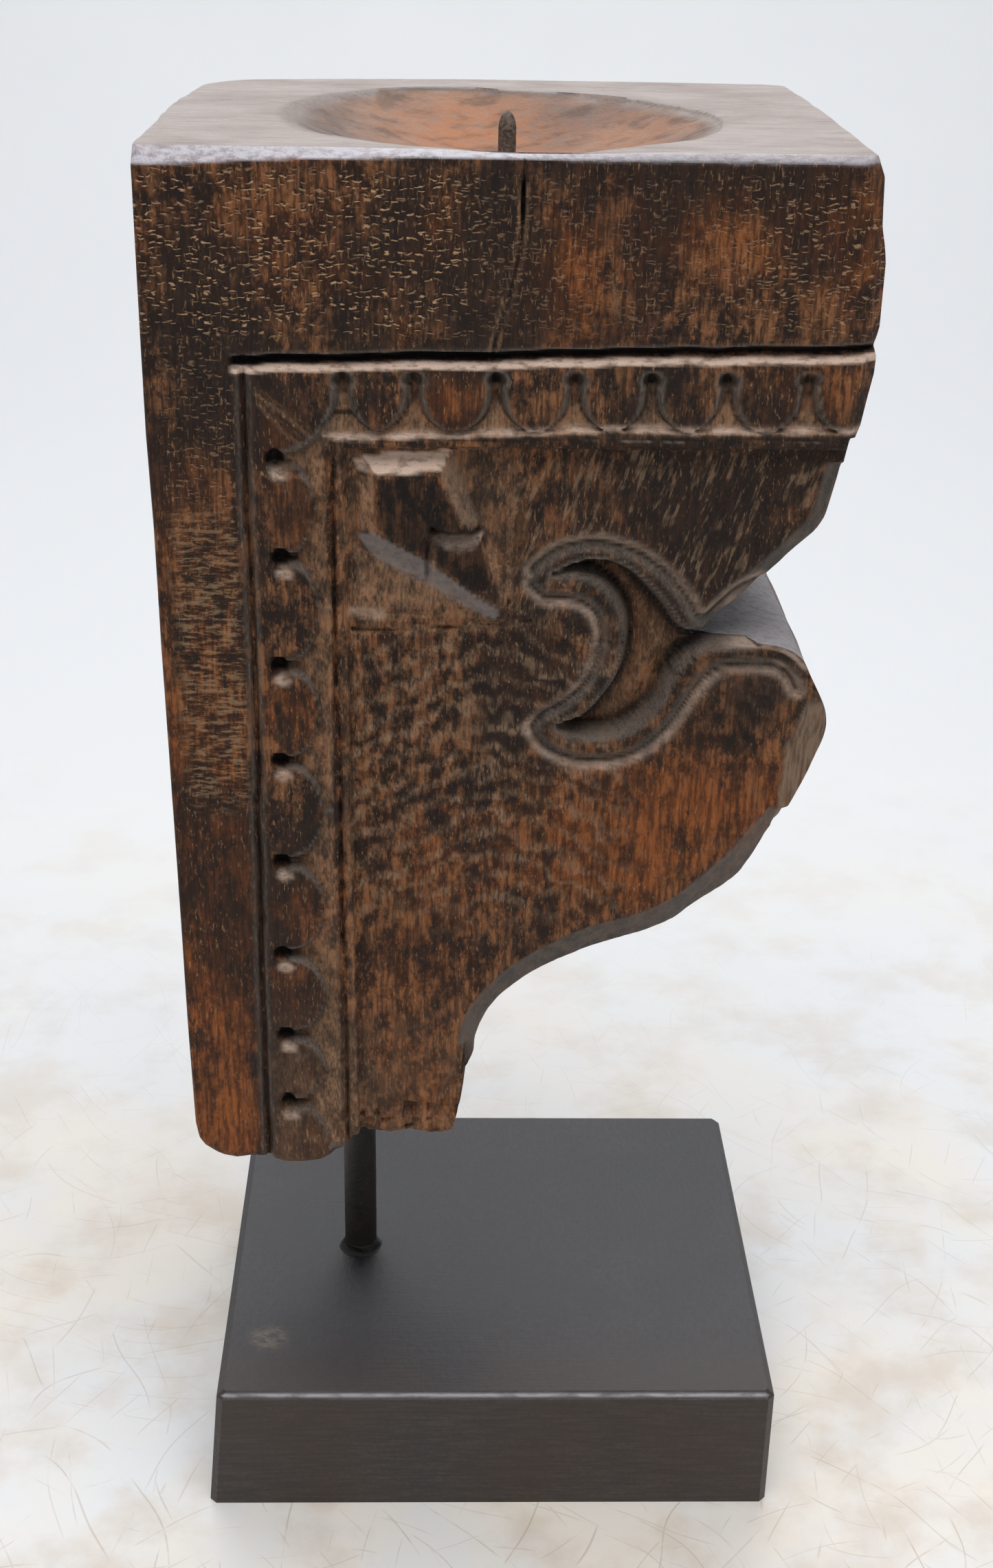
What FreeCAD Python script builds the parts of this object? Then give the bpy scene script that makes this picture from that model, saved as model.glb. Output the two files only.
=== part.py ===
# Pricket candle stand: a carved hardwood bracket on an iron rod over a painted wooden plinth.
# Millimetres, +Z up, front of the carving towards -Y, origin on the underside of the plinth.
import FreeCAD, Part
import math
import os
import Sketcher

V = FreeCAD.Vector
doc = FreeCAD.newDocument("pricket_stand")

# ---------------------------------------------------------------- sizes
SIZES = (
    ("base_width", 128.0, "plinth across the top, left to right"),
    ("base_depth", 112.0, "plinth, front to back"),
    ("base_height", 32.4, "plinth thickness"),
    ("base_splay", 2.7, "how far the left side leans out at the floor"),
    ("base_arris", 1.5, "bevel on the upper edges and corners of the plinth"),
    ("rod_diameter", 8.0, "iron rod"),
    ("rod_left", 33.0, "rod axis, left of the plinth's middle"),
    ("rod_forward", 1.2, "rod axis, in front of the plinth's middle"),
    ("rod_play", 0.1, "gap round the rod in its holes"),
    ("rod_insert", 50.0, "length of rod inside the bracket"),
    ("rod_tail", 1.5, "rod end standing past the nut"),
    ("stand_gap", 66.0, "clear height from plinth to bracket"),
    ("recess_diameter", 24.0, "counterbore under the plinth for washer and nut"),
    ("recess_depth", 12.0, "depth of that counterbore"),
    ("washer_diameter", 17.0, "iron washer"),
    ("washer_thickness", 1.6, "iron washer"),
    ("nut_width", 13.0, "hexagon nut across its flats"),
    ("nut_height", 6.5, "hexagon nut"),
    ("bead_width", 1.7, "bead of filler round the rod's foot"),
    ("bead_height", 2.6, "height of that bead"),
    ("bracket_width", 131.0, "bracket, left edge to the top block's right edge"),
    ("bracket_depth", 101.0, "bracket, front cheek to back cheek"),
    ("bracket_height", 209.6, "bracket, top face to the lowest lobe"),
    ("rod_inset", 34.0, "rod axis from the bracket's left edge"),
    ("rod_setback", 57.8, "rod axis behind the bracket's front cheek"),
    ("foot_width", 60.5, "width of the foot where the raking edge meets it"),
    ("foot_step", 6.0, "how much higher the panel's foot ends than the bands"),
    ("notch_drop", 91.0, "inner end of the notch, below the top face"),
    ("notch_reach", 30.7, "inner end of the notch, in from the right edge"),
    ("top_arris", 1.8, "height of the worn bevel along the top front edge"),
    ("corner_round", 9.0, "rounding of the two back corners, in plan"),
    ("cap_height", 35.0, "top face to the upper groove"),
    ("groove_width", 2.0, "sawn grooves that frame the border"),
    ("groove_depth", 2.2, "depth of those grooves"),
    ("side_band", 17.0, "plain band left of the upright groove"),
    ("border_top", 52.0, "top face to the sunk panel"),
    ("border_side", 34.5, "left edge to the sunk panel"),
    ("panel_sink", 2.5, "depth of the panel below the border"),
    ("petal_pitch", 14.0, "spacing of the keyholes along the top border"),
    ("petal_rise", 20.0, "spacing of the keyholes down the side border"),
    ("keyhole_radius", 1.5, "drilled head of each keyhole"),
    ("keyhole_depth", 2.4, "depth of the keyholes"),
    ("scroll_depth", 7.0, "depth of the hollow inside the scroll"),
    ("crack_depth", 4.0, "depth of the drying crack in the top block"),
    ("dish_front", 3.0, "wood left in front of the dish"),
    ("dish_back", 12.0, "wood left behind the dish"),
    ("dish_shift", -0.5, "dish axis, right of the bracket's middle"),
    ("dish_depth", 10.0, "depth of the dish"),
    ("pricket_diameter", 3.5, "iron pricket"),
    ("pricket_sunk", 22.0, "length of pricket in the wood"),
    ("pricket_shank", 7.0, "straight part of the pricket above the dish"),
    ("pricket_point", 3.8, "length of the pricket's point"),
    ("pricket_shoulder", 0.25, "step from the pricket's shank in to its tang"),
    ("pricket_play", 0.05, "gap round the pricket's tang in its hole"),
)

sheet = doc.addObject("Spreadsheet::Sheet", "sizes")
for row, (alias, value, note) in enumerate(SIZES, start=1):
    sheet.set(f"A{row}", note)
    sheet.set(f"B{row}", str(value))
    sheet.setAlias(f"B{row}", alias)
doc.recompute()


def size(alias):
    return float(sheet.get(alias))


# ---------------------------------------------------------------- helpers
def add_body(label):
    body = doc.addObject("PartDesign::Body", label)
    body.Label = label
    return body


def place(body, x, y, z):
    """Binds the body's position to the sheet."""
    body.setExpression("Placement.Base.x", x)
    body.setExpression("Placement.Base.y", y)
    body.setExpression("Placement.Base.z", z)


def add_sketch(body, name, role, offset="0"):
    """A sketch on one of the body's own origin planes, moved along its normal by an expression."""
    plane = next(f for f in body.Origin.OriginFeatures if f.Role == role)
    sketch = body.newObject("Sketcher::SketchObject", name)
    sketch.AttachmentSupport = [(plane, "")]
    sketch.MapMode = "FlatFace"
    sketch.setExpression("AttachmentOffset.Base.z", offset)
    return sketch


def add_circle(sketch, radius, x="0", y="0"):
    """A circle whose radius and centre follow expressions."""
    index = sketch.addGeometry(Part.Circle(V(0, 0, 0), V(0, 0, 1), 5), False)
    for kind, text in (("Radius", radius), ("DistanceX", x), ("DistanceY", y)):
        if kind == "Radius":
            rule = Sketcher.Constraint(kind, index, 5)
        else:
            rule = Sketcher.Constraint(kind, -1, 1, index, 3, 1)
        number = sketch.addConstraint(rule)
        sketch.setExpression(f"Constraints[{number}]", text)


def add_outline(sketch, points):
    """A closed outline: a pair is the end of a line, two pairs are an arc's middle and end."""
    first = V(*points[0], 0)
    here = first
    count = sketch.GeometryCount
    start = count
    for step in points[1:] + [points[0]]:
        if isinstance(step[0], tuple):
            middle, end = V(*step[0], 0), V(*step[1], 0)
            sketch.addGeometry(Part.Arc(here, middle, end), False)
        else:
            end = V(*step, 0)
            if (end - here).Length < 1e-6:
                continue
            sketch.addGeometry(Part.LineSegment(here, end), False)
        here = end
        count += 1
    return range(start, count)


def add_pad(body, sketch, length, reverse=False):
    pad = body.newObject("PartDesign::Pad", sketch.Name + "_pad")
    pad.Profile = sketch
    pad.Reversed = reverse
    pad.setExpression("Length", length)
    return pad


def add_pocket(body, sketch, length=None, reverse=False):
    """Cuts a sketch into the body, to a depth, or right through when no depth is given."""
    pocket = body.newObject("PartDesign::Pocket", sketch.Name + "_cut")
    pocket.Profile = sketch
    pocket.Reversed = reverse
    if length is None:
        pocket.Type = "ThroughAll"
    else:
        pocket.setExpression("Length", length)
    return pocket


# ---------------------------------------------------------------- plinth
# A block of wood, painted black: three square sides, the left one planed slightly out of upright.
base = add_body("base_block")
half = size("base_width") / 2
profile = add_sketch(base, "base_profile", "XZ_Plane", "-sizes.base_depth / 2")
add_outline(profile, [
    (-half - size("base_splay"), 0),
    (half, 0),
    (half, size("base_height")),
    (-half, size("base_height")),
])
add_pad(base, profile, "sizes.base_depth")
doc.recompute()

# The bevel runs down the four corners, then round the upper edges.


def bevel_edges(name, wanted):
    """Bevels the plinth's edges that the test picks out by their lowest and highest points."""
    doc.recompute()
    solid = base.Tip
    names = []
    for number, edge in enumerate(solid.Shape.Edges, start=1):
        heights = [v.Point.z for v in edge.Vertexes]
        if wanted(min(heights), max(heights)):
            names.append(f"Edge{number}")
    cut = base.newObject("PartDesign::Chamfer", name)
    cut.Base = (solid, names)
    cut.setExpression("Size", "sizes.base_arris")
    return cut


bevel_edges("corner_arris", lambda low, high: high - low > 1)
bevel_edges("top_arris_cut", lambda low, high: low > size("base_height") - 0.01)

hole = add_sketch(base, "base_rod_hole", "XY_Plane", "sizes.base_height")
add_circle(hole, "sizes.rod_diameter / 2 + sizes.rod_play", "-sizes.rod_left", "-sizes.rod_forward")
add_pocket(base, hole)
recess = add_sketch(base, "base_recess", "XY_Plane")
add_circle(recess, "sizes.recess_diameter / 2", "-sizes.rod_left", "-sizes.rod_forward")
add_pocket(base, recess, "sizes.recess_depth", reverse=True)

# ---------------------------------------------------------------- washer and nut
ROD_X, ROD_Y = "-sizes.rod_left", "-sizes.rod_forward"
washer = add_body("rod_washer")
ring = add_sketch(washer, "washer_ring", "XY_Plane")
add_circle(ring, "sizes.washer_diameter / 2")
add_circle(ring, "sizes.rod_diameter / 2 + sizes.rod_play")
add_pad(washer, ring, "sizes.washer_thickness")
place(washer, ROD_X, ROD_Y, "sizes.recess_depth - sizes.washer_thickness")

nut = add_body("rod_nut")
hexagon = add_sketch(nut, "nut_hexagon", "XY_Plane")
across = size("nut_width") / math.sqrt(3)
add_outline(hexagon, [
    (across * math.cos(math.radians(60 * k)), across * math.sin(math.radians(60 * k))) for k in range(6)
])
add_circle(hexagon, "sizes.rod_diameter / 2 + sizes.rod_play / 2")
add_pad(nut, hexagon, "sizes.nut_height")
place(nut, ROD_X, ROD_Y, "sizes.recess_depth - sizes.washer_thickness - sizes.nut_height")

# ---------------------------------------------------------------- rod
# One round bar from below the nut, through the plinth and up into the bracket's foot.
rod = add_body("stand_rod")
section = add_sketch(rod, "rod_section", "XY_Plane")
add_circle(section, "sizes.rod_diameter / 2")
NUT_FOOT = "sizes.recess_depth - sizes.washer_thickness - sizes.nut_height - sizes.rod_tail"
bar = add_pad(rod, section, f"sizes.base_height + sizes.stand_gap + sizes.rod_insert - ({NUT_FOOT})")
place(rod, ROD_X, ROD_Y, NUT_FOOT)
doc.recompute()
ends = [f"Edge{n}" for n, e in enumerate(bar.Shape.Edges, start=1) if len(e.Vertexes) == 1]
rod_ends = rod.newObject("PartDesign::Chamfer", "rod_ends")
rod_ends.Base = (bar, ends)
rod_ends.Size = 0.6

# The bead of black filler in the corner between rod and plinth.
bead = add_body("rod_bead")
inner = size("rod_diameter") / 2 + size("rod_play") / 2
outer = inner + size("bead_width")
rise = size("bead_height")
bead_half = add_sketch(bead, "bead_half", "XZ_Plane")
add_outline(bead_half, [
    (inner, 0),
    (outer, 0),
    ((inner + 0.62 * size("bead_width"), 0.45 * rise), (inner + 0.25 * size("bead_width"), rise)),
    (inner, rise),
])
turn = bead.newObject("PartDesign::Revolution", "bead_turn")
turn.Profile = bead_half
turn.ReferenceAxis = (bead_half, ["V_Axis"])
turn.Angle = 360
place(bead, ROD_X, ROD_Y, "sizes.base_height")

# ---------------------------------------------------------------- bracket
# One block of hardwood. Its own corner of reference is the top front left: x to the right,
# y into the depth, z down from the top face as negative numbers. The outline is sawn and
# carved right through; the cheeks are then cut in from the front and, the same, from the back.
bracket = add_body("carved_bracket")
wide = size("bracket_width")
tall = size("bracket_height")
foot = size("foot_width")
notch_x = wide - size("notch_reach")
notch_z = -size("notch_drop")
edge_x = notch_x + 17
edge_z = notch_z - 42
heel_z = -tall + size("foot_step")

outline = add_sketch(bracket, "bracket_outline", "XZ_Plane")
add_outline(outline, [
    (0, -68),
    (-0.7, -45),
    (-0.7, 0),
    (wide - 3, 0),
    (wide - 1.6, -3.5),
    (wide - 1.2, -12),
    (wide, -18),
    (wide, -30),
    (wide - 1.6, -33.4),
    (wide, -35),
    (wide - 0.2, -38),
    (wide - 2, -48),
    (wide - 3.4, -51),
    ((wide - 4.6, -60), (wide - 6.6, -66.5)),
    (wide - 8.5, -69),
    (wide - 16.7, -77.2),
    ((wide - 20.5, -81), (wide - 26.4, notch_z + 5)),
    (notch_x, notch_z),
    ((notch_x + 6, notch_z + 0.3), (notch_x + 14, notch_z + 0.2)),
    ((notch_x + 22.2, notch_z - 1.6), (notch_x + 24.5, notch_z - 7.8)),
    ((notch_x + 28.8, notch_z - 17.4), (notch_x + 25.8, notch_z - 28)),
    (notch_x + 19.8, notch_z - 39.2),
    (edge_x, edge_z),
    ((edge_x - 3.8, edge_z - 9.2), (edge_x - 12.7, edge_z - 16)),
    ((edge_x - 16, edge_z - 20.2), (edge_x - 25.3, edge_z - 23.3)),
    ((foot + 14, -tall + 45.8), (foot + 0.7, -tall + 31.8)),
    (foot, -tall + 24.8),
    (foot - 0.7, -tall + 20.8),
    (foot - 2.2, -tall + 18.8),
    (foot - 4.2, heel_z + 1.3),
    (foot - 5.7, heel_z),
    (34.8, heel_z),
    (34.4, -tall + 4.8),
    ((33, -tall + 3), (31.3, -tall + 2.7)),
    ((24.2, -tall), (17.4, -tall + 1.5)),
    ((10.5, -tall + 1), (3.8, -tall + 4.4)),
    (2, -tall + 8.6),
])
add_pad(bracket, outline, "sizes.bracket_depth", reverse=True)

# The two back corners are rounded from top to bottom.
rounding = size("corner_round")
deep = size("bracket_depth")
slant = rounding * (1 - math.sqrt(0.5))
corners = add_sketch(bracket, "back_corners", "XY_Plane", "1 mm")
add_outline(corners, [
    (-3, deep - rounding),
    (0, deep - rounding),
    ((slant, deep - slant), (rounding, deep)),
    (rounding, deep + 3),
    (-3, deep + 3),
])
add_outline(corners, [
    (wide + 3, deep - rounding),
    (wide + 3, deep + 3),
    (wide - rounding, deep + 3),
    (wide - rounding, deep),
    ((wide - slant, deep - slant), (wide, deep - rounding)),
])
add_pocket(bracket, corners)

# Worn bevels: along the top front edge, and down the upper right corner.
bevel = add_sketch(bracket, "top_front_bevel", "YZ_Plane", "-3 mm")
worn = size("top_arris")
add_outline(bevel, [(-2, -worn), (0, -worn), (1.4 * worn, 0), (1.4 * worn, 2), (-2, 2)])
add_pocket(bracket, bevel, "sizes.bracket_width + 6", reverse=True)
side_bevel = add_sketch(bracket, "right_bevel", "XY_Plane", "1 mm")
add_outline(side_bevel, [(wide - 2.4, -2), (wide + 3, -2), (wide + 3, 2.6), (wide, 2.6), (wide - 2.4, 0)])
add_pocket(bracket, side_bevel, "sizes.border_top + 1")

# The cheek. Everything right of and below the border is sunk as one panel.
CHEEK = []


def carve(name, points, depth):
    """A flat-bottomed cut into the front cheek, kept for the mirrored copy on the back."""
    sketch = add_sketch(bracket, name, "XZ_Plane")
    add_outline(sketch, points)
    CHEEK.append(add_pocket(bracket, sketch, depth))


panel_x = size("border_side")
panel_z = -size("border_top")
carve("panel", [
    (panel_x, panel_z),
    (wide + 5, panel_z),
    (wide + 5, -tall - 5),
    (panel_x, -tall - 5),
], "sizes.panel_sink")

cap = -size("cap_height")
saw = size("groove_width")
band = size("side_band")
carve("upper_groove", [
    (band - 1.5, cap - 3.2),
    (wide + 5, cap),
    (wide + 5, cap + saw),
    (band - 1.5, cap + saw - 3.2),
], "sizes.groove_depth")
carve("upright_groove", [
    (band - saw / 2, cap - 3),
    (band + saw / 4, cap - 3),
    (band + saw / 4, -tall - 5),
    (band - saw / 2, -tall - 5),
], "sizes.groove_depth")

# Keyholes between the half-round petals: a drilled head that widens towards the panel.
head = size("keyhole_radius")


def keyhole(x, z, across, along):
    """Outline of one keyhole with its head at (x, z); across and along are unit directions."""
    def at(a, b):
        return (x + a * across[0] + b * along[0], z + a * across[1] + b * along[1])
    return [
        at(-0.5 * head, 0.87 * head),
        (at(0, -head), at(0.5 * head, 0.87 * head)),
        (at(1.6, 5.2), at(5.0, 8.6)),
        at(-5.0, 8.6),
        (at(-1.6, 5.2), at(-0.5 * head, 0.87 * head)),
    ]


def keyhole_row(name, points, plane_offset, from_back, axis, pitch, room):
    """One keyhole, copied along an axis of its sketch as often as the border has room for."""
    sketch = add_sketch(bracket, name, "XZ_Plane", plane_offset)
    add_outline(sketch, points)
    cut = add_pocket(bracket, sketch, "sizes.keyhole_depth", reverse=from_back)
    doc.recompute()
    pattern = bracket.newObject("PartDesign::LinearPattern", name + "_row")
    pattern.Originals = [cut]
    pattern.Direction = (sketch, [axis])
    pattern.Reversed = axis == "V_Axis"
    pattern.setExpression("Occurrences", f"floor(({room}) / {pitch}) + 1")
    pattern.setExpression("Length", f"floor(({room}) / {pitch}) * {pitch}")
    bracket.Tip = pattern


for cheek, plane_offset, from_back in (("front", "0", False), ("back", "-sizes.bracket_depth", True)):
    keyhole_row(cheek + "_top_keyhole", keyhole(panel_x + 0.6, panel_z + 12, (1, 0), (0, -1)),
                plane_offset, from_back, "H_Axis", "sizes.petal_pitch",
                "sizes.bracket_width - sizes.border_side - 8")
    keyhole_row(cheek + "_side_keyhole", keyhole(panel_x - 12.5, panel_z - 2.8, (0, 1), (1, 0)),
                plane_offset, from_back, "V_Axis", "sizes.petal_rise",
                "sizes.bracket_height - sizes.border_top - 12")

# The scroll: a deep hollow between the curling leaf above and the lobe below, open to the notch.
carve("scroll_hollow", [
    (notch_x - 25.9, notch_z + 14),
    ((notch_x - 13.9, notch_z + 16), (notch_x + 1.1, notch_z + 2)),
    (notch_x + 5.1, notch_z + 3.2),
    (notch_x + 4.1, notch_z - 0.4),
    ((notch_x - 3.4, notch_z - 7.5), (notch_x - 6.9, notch_z - 15)),
    ((notch_x - 15.9, notch_z - 20), (notch_x - 24.4, notch_z - 17)),
    ((notch_x - 11.7, notch_z - 1), (notch_x - 25.9, notch_z + 14)),
], "sizes.scroll_depth")

# The rounded lower edge below the panel, and the split-off facet on the lobe.
carve("lower_rim", [
    (edge_x - 1.7, edge_z + 1.5),
    ((edge_x - 9.5, edge_z - 8), (edge_x - 20.5, edge_z - 16.5)),
    ((foot + 11.5, -tall + 48.5), (foot - 1.3, -tall + 34)),
    (foot - 1.3, -tall + 25),
    (foot + 20, -tall + 25),
    (wide + 5, edge_z - 25),
    (wide + 5, edge_z + 1.5),
], "sizes.panel_sink + 2")
carve("lobe_facet", [
    (notch_x + 24, notch_z - 7),
    ((notch_x + 20.8, notch_z - 19), (notch_x + 19.5, notch_z - 36.5)),
    (wide + 5, notch_z - 36.5),
    (wide + 5, notch_z - 7),
], "sizes.panel_sink + 4")

# The cut-gem motif in the panel's upper corner: a sloping-sided sink and a slanting flute below.
carve("gem_sink", [
    (panel_x + 4, panel_z - 1.8),
    (panel_x + 20, panel_z - 0.8),
    (panel_x + 25, panel_z - 14.5),
    (panel_x + 16, panel_z - 20),
    (panel_x + 6, panel_z - 15.5),
], "sizes.panel_sink + 1.6")
carve("gem_flute", [
    (panel_x + 4, panel_z - 16),
    (panel_x + 29, panel_z - 30.5),
    (panel_x + 27.5, panel_z - 32),
    (panel_x + 3.5, panel_z - 18.5),
], "sizes.panel_sink + 1.2")
doc.recompute()

# The back cheek carries the same carving, mirrored in the middle of the block.
middle = bracket.newObject("PartDesign::Plane", "middle_plane")
middle.AttachmentSupport = [(next(f for f in bracket.Origin.OriginFeatures if f.Role == "XZ_Plane"), "")]
middle.MapMode = "FlatFace"
middle.setExpression("AttachmentOffset.Base.z", "-sizes.bracket_depth / 2")
doc.recompute()
back = bracket.newObject("PartDesign::Mirrored", "back_cheek")
back.Originals = CHEEK
back.MirrorPlane = (middle, [""])
bracket.Tip = back
doc.recompute()

# Drying crack in the top block, open near the top and closing downwards.
crack = add_sketch(bracket, "crack", "XZ_Plane")
add_outline(crack, [
    (66.2, -3.5), (67.1, -3.5), (67.0, -13), (64.9, -25), (62.5, -33), (62.2, -33), (64.3, -24), (66.2, -12),
])
add_pocket(bracket, crack, "sizes.crack_depth")

# The dish that holds the candle's foot, a shallow bowl turned about an upright axis.
reach = (deep - size("dish_front") - size("dish_back")) / 2
sag = size("dish_depth")
bowl = (reach ** 2 + sag ** 2) / (2 * sag)
lip = math.asin(reach / bowl)
dish = add_sketch(bracket, "dish_half", "XZ_Plane", "-((sizes.bracket_depth - sizes.dish_back + sizes.dish_front) / 2)")
dish_x = wide / 2 + size("dish_shift")
add_outline(dish, [
    (dish_x, -sag),
    ((dish_x + bowl * math.sin(lip / 2), bowl - sag - bowl * math.cos(lip / 2)), (dish_x + reach, 0)),
    (dish_x + reach, 3),
    (dish_x, 3),
])
dish.addGeometry(Part.LineSegment(V(dish_x, -sag, 0), V(dish_x, 3, 0)), True)
scoop = bracket.newObject("PartDesign::Groove", "dish")
scoop.Profile = dish
scoop.ReferenceAxis = (dish, ["Axis0"])
scoop.Angle = 360
doc.recompute()

# Holes: one down through the dish for the pricket, one up into the foot for the rod.
DISH_X = "sizes.bracket_width / 2 + sizes.dish_shift"
DISH_Y = "(sizes.bracket_depth - sizes.dish_back + sizes.dish_front) / 2"
pin_hole = add_sketch(bracket, "pricket_hole", "XY_Plane")
add_circle(pin_hole, "sizes.pricket_diameter / 2 - sizes.pricket_shoulder + sizes.pricket_play", DISH_X, DISH_Y)
add_pocket(bracket, pin_hole, "sizes.dish_depth + sizes.pricket_sunk + 1")
rod_hole = add_sketch(bracket, "bracket_rod_hole", "XY_Plane", "-sizes.bracket_height")
add_circle(rod_hole, "sizes.rod_diameter / 2 + sizes.rod_play", "sizes.rod_inset", "sizes.rod_setback")
add_pocket(bracket, rod_hole, "sizes.rod_insert + 1", reverse=True)

BRACKET_X = "-sizes.rod_left - sizes.rod_inset"
BRACKET_Y = "-sizes.rod_forward - sizes.rod_setback"
BRACKET_Z = "sizes.base_height + sizes.stand_gap + sizes.bracket_height"
place(bracket, BRACKET_X, BRACKET_Y, BRACKET_Z)

# ---------------------------------------------------------------- pricket
# A cut and filed iron nail: a tang driven into the wood, a small step just clear of the dish,
# a plain shank and a short bullet-shaped point.
pricket = add_body("candle_pricket")
thick = size("pricket_diameter") / 2
thin = thick - size("pricket_shoulder")
seat = size("pricket_sunk") + 0.1
shoulder = size("pricket_sunk") + size("pricket_shank")
tip = shoulder + size("pricket_point")
spike = add_sketch(pricket, "pricket_half", "XZ_Plane")
add_outline(spike, [
    (0, 0),
    (thin, 0),
    (thin, seat),
    (thick, seat),
    (thick, shoulder),
    ((0.68 * thick, shoulder + 0.58 * size("pricket_point")), (0.16 * thick, tip)),
    (0, tip),
])
spin = pricket.newObject("PartDesign::Revolution", "pricket_turn")
spin.Profile = spike
spin.ReferenceAxis = (spike, ["V_Axis"])
spin.Angle = 360
place(pricket, f"{BRACKET_X} + {DISH_X}", f"{BRACKET_Y} + {DISH_Y}",
      f"{BRACKET_Z} - sizes.dish_depth - sizes.pricket_sunk")

# ---------------------------------------------------------------- checks and files
doc.recompute()
failed = [f"{item.Name}: {item.getStatusString()}" for item in doc.Objects
          if "Invalid" in item.State or "Error" in item.State]
if failed:
    raise RuntimeError("failed features: " + "; ".join(failed))

BODIES = (base, washer, nut, rod, bead, bracket, pricket)
for body in BODIES:
    shape = body.Shape
    if shape.isNull() or not shape.isValid() or len(shape.Solids) != 1:
        raise RuntimeError(f"{body.Label} is not one valid solid")
    before = None
    for feature in body.Group:
        if feature.isDerivedFrom("PartDesign::Feature") and feature.TypeId != "PartDesign::Plane":
            volume = feature.Shape.Volume
            if before is not None and volume > before - 0.01:
                raise RuntimeError(f"{feature.Name} cuts nothing")
            before = volume

os.makedirs("parts", exist_ok=True)
for body in BODIES:
    body.Shape.exportStep(f"parts/{body.Label}.step")
    box = body.Shape.BoundBox
    print(body.Label, round(body.Shape.Volume / 1000, 2), "cm3",
          [round(v, 2) for v in (box.XMin, box.YMin, box.ZMin, box.XMax, box.YMax, box.ZMax)])
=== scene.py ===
# Pricket candle stand: a carved hardwood bracket, taken from an old building, held over a painted
# wooden plinth by one iron rod, with a candle dish turned in its top and an iron pricket in the dish.
# Metres, +Z up, the front of the carving towards -Y, exactly where the frame puts each piece.
import bpy
import numpy as np
from mathutils import Matrix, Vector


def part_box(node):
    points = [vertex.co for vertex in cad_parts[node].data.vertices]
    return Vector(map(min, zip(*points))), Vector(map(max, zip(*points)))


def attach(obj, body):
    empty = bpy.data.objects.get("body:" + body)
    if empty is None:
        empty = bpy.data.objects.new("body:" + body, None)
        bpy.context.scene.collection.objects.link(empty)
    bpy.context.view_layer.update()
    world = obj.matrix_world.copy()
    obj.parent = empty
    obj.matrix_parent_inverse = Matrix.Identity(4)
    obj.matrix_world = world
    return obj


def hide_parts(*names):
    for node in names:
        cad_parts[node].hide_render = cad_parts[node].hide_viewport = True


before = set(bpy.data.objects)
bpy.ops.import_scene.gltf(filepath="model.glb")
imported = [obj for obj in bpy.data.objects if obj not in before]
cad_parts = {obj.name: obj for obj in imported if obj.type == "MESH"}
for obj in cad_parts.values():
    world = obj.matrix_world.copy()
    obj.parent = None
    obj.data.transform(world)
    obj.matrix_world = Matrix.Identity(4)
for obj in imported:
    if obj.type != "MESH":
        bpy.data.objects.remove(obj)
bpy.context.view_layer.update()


# ---------------------------------------------------------------- plinth
# A block of hardwood 128 mm wide and 32 mm thick, its left side leaning out a little. The arrises
# are eased with a plane, and it is brushed with thin satin black that has rubbed pale on the edges;
# the pale front top arris also carries a painted highlight, and the top a cooler painted reflection.
def new_material(name):
    """An empty material: its tree, its surface shader and the coordinates its patterns read."""
    material = bpy.data.materials.new(name)
    material.use_nodes = True
    tree = material.node_tree
    return material, tree, tree.nodes["Principled BSDF"], tree.nodes.new("ShaderNodeTexCoord").outputs["Object"]


# The next helpers all work in the material being made: the latest tree, shader and here.
def node(kind, inputs=(), **settings):
    """One shader node: inputs maps a socket's name or number to a value or to another node's output."""
    made = tree.nodes.new("ShaderNode" + kind)
    for key, value in settings.items():
        setattr(made, key, value)
    for key, value in dict(inputs).items():
        if isinstance(value, bpy.types.NodeSocket):
            tree.links.new(value, made.inputs[key])
        else:
            made.inputs[key].default_value = value
    return made


def noise(scale, stretch=(1, 1, 1), detail=4.0, roughness=0.55, turn=(0, 0, 0)):
    """Cloudy pattern of that many clouds per metre: turned, then each axis multiplied by stretch."""
    turned = node("Mapping", {0: here, "Rotation": turn}).outputs[0] if any(turn) else here
    placed = node("Mapping", {0: turned, "Scale": stretch})
    return node("TexNoise", {"Vector": placed.outputs[0], "Scale": scale, "Detail": detail,
                             "Roughness": roughness}).outputs["Fac"]


def ramp(value, low, high, out_low=0.0, out_high=1.0):
    """Smooth step: out_low below low, out_high above high, an S curve between them."""
    return node("MapRange", {0: value, 1: low, 2: high, 3: out_low, 4: out_high},
                interpolation_type="SMOOTHSTEP").outputs[0]


def sum_of(operation, a, b=0.0, c=0.0):
    """One sum on numbers: multiply, subtract, power and so on."""
    return node("Math", {0: a, 1: b, 2: c}, operation=operation).outputs[0]


def times(a, b):
    """a multiplied by b."""
    return sum_of("MULTIPLY", a, b)


def times_plus(a, b, c):
    """a multiplied by b, plus c."""
    return sum_of("MULTIPLY_ADD", a, b, c)


def less(a, b):
    """a less b."""
    return sum_of("SUBTRACT", a, b)


def layers(colour, *coats):
    """A colour with coats laid over it in turn, each one an amount and the colour laid on."""
    for amount, over in coats:
        mixed = node("Mix", {0: amount}, data_type="RGBA")
        for socket, part in ((mixed.inputs[6], colour), (mixed.inputs[7], over)):
            if isinstance(part, bpy.types.NodeSocket):
                tree.links.new(part, socket)
            else:
                socket.default_value = (*part, 1.0)
        colour = mixed.outputs[2]
    return colour


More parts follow.
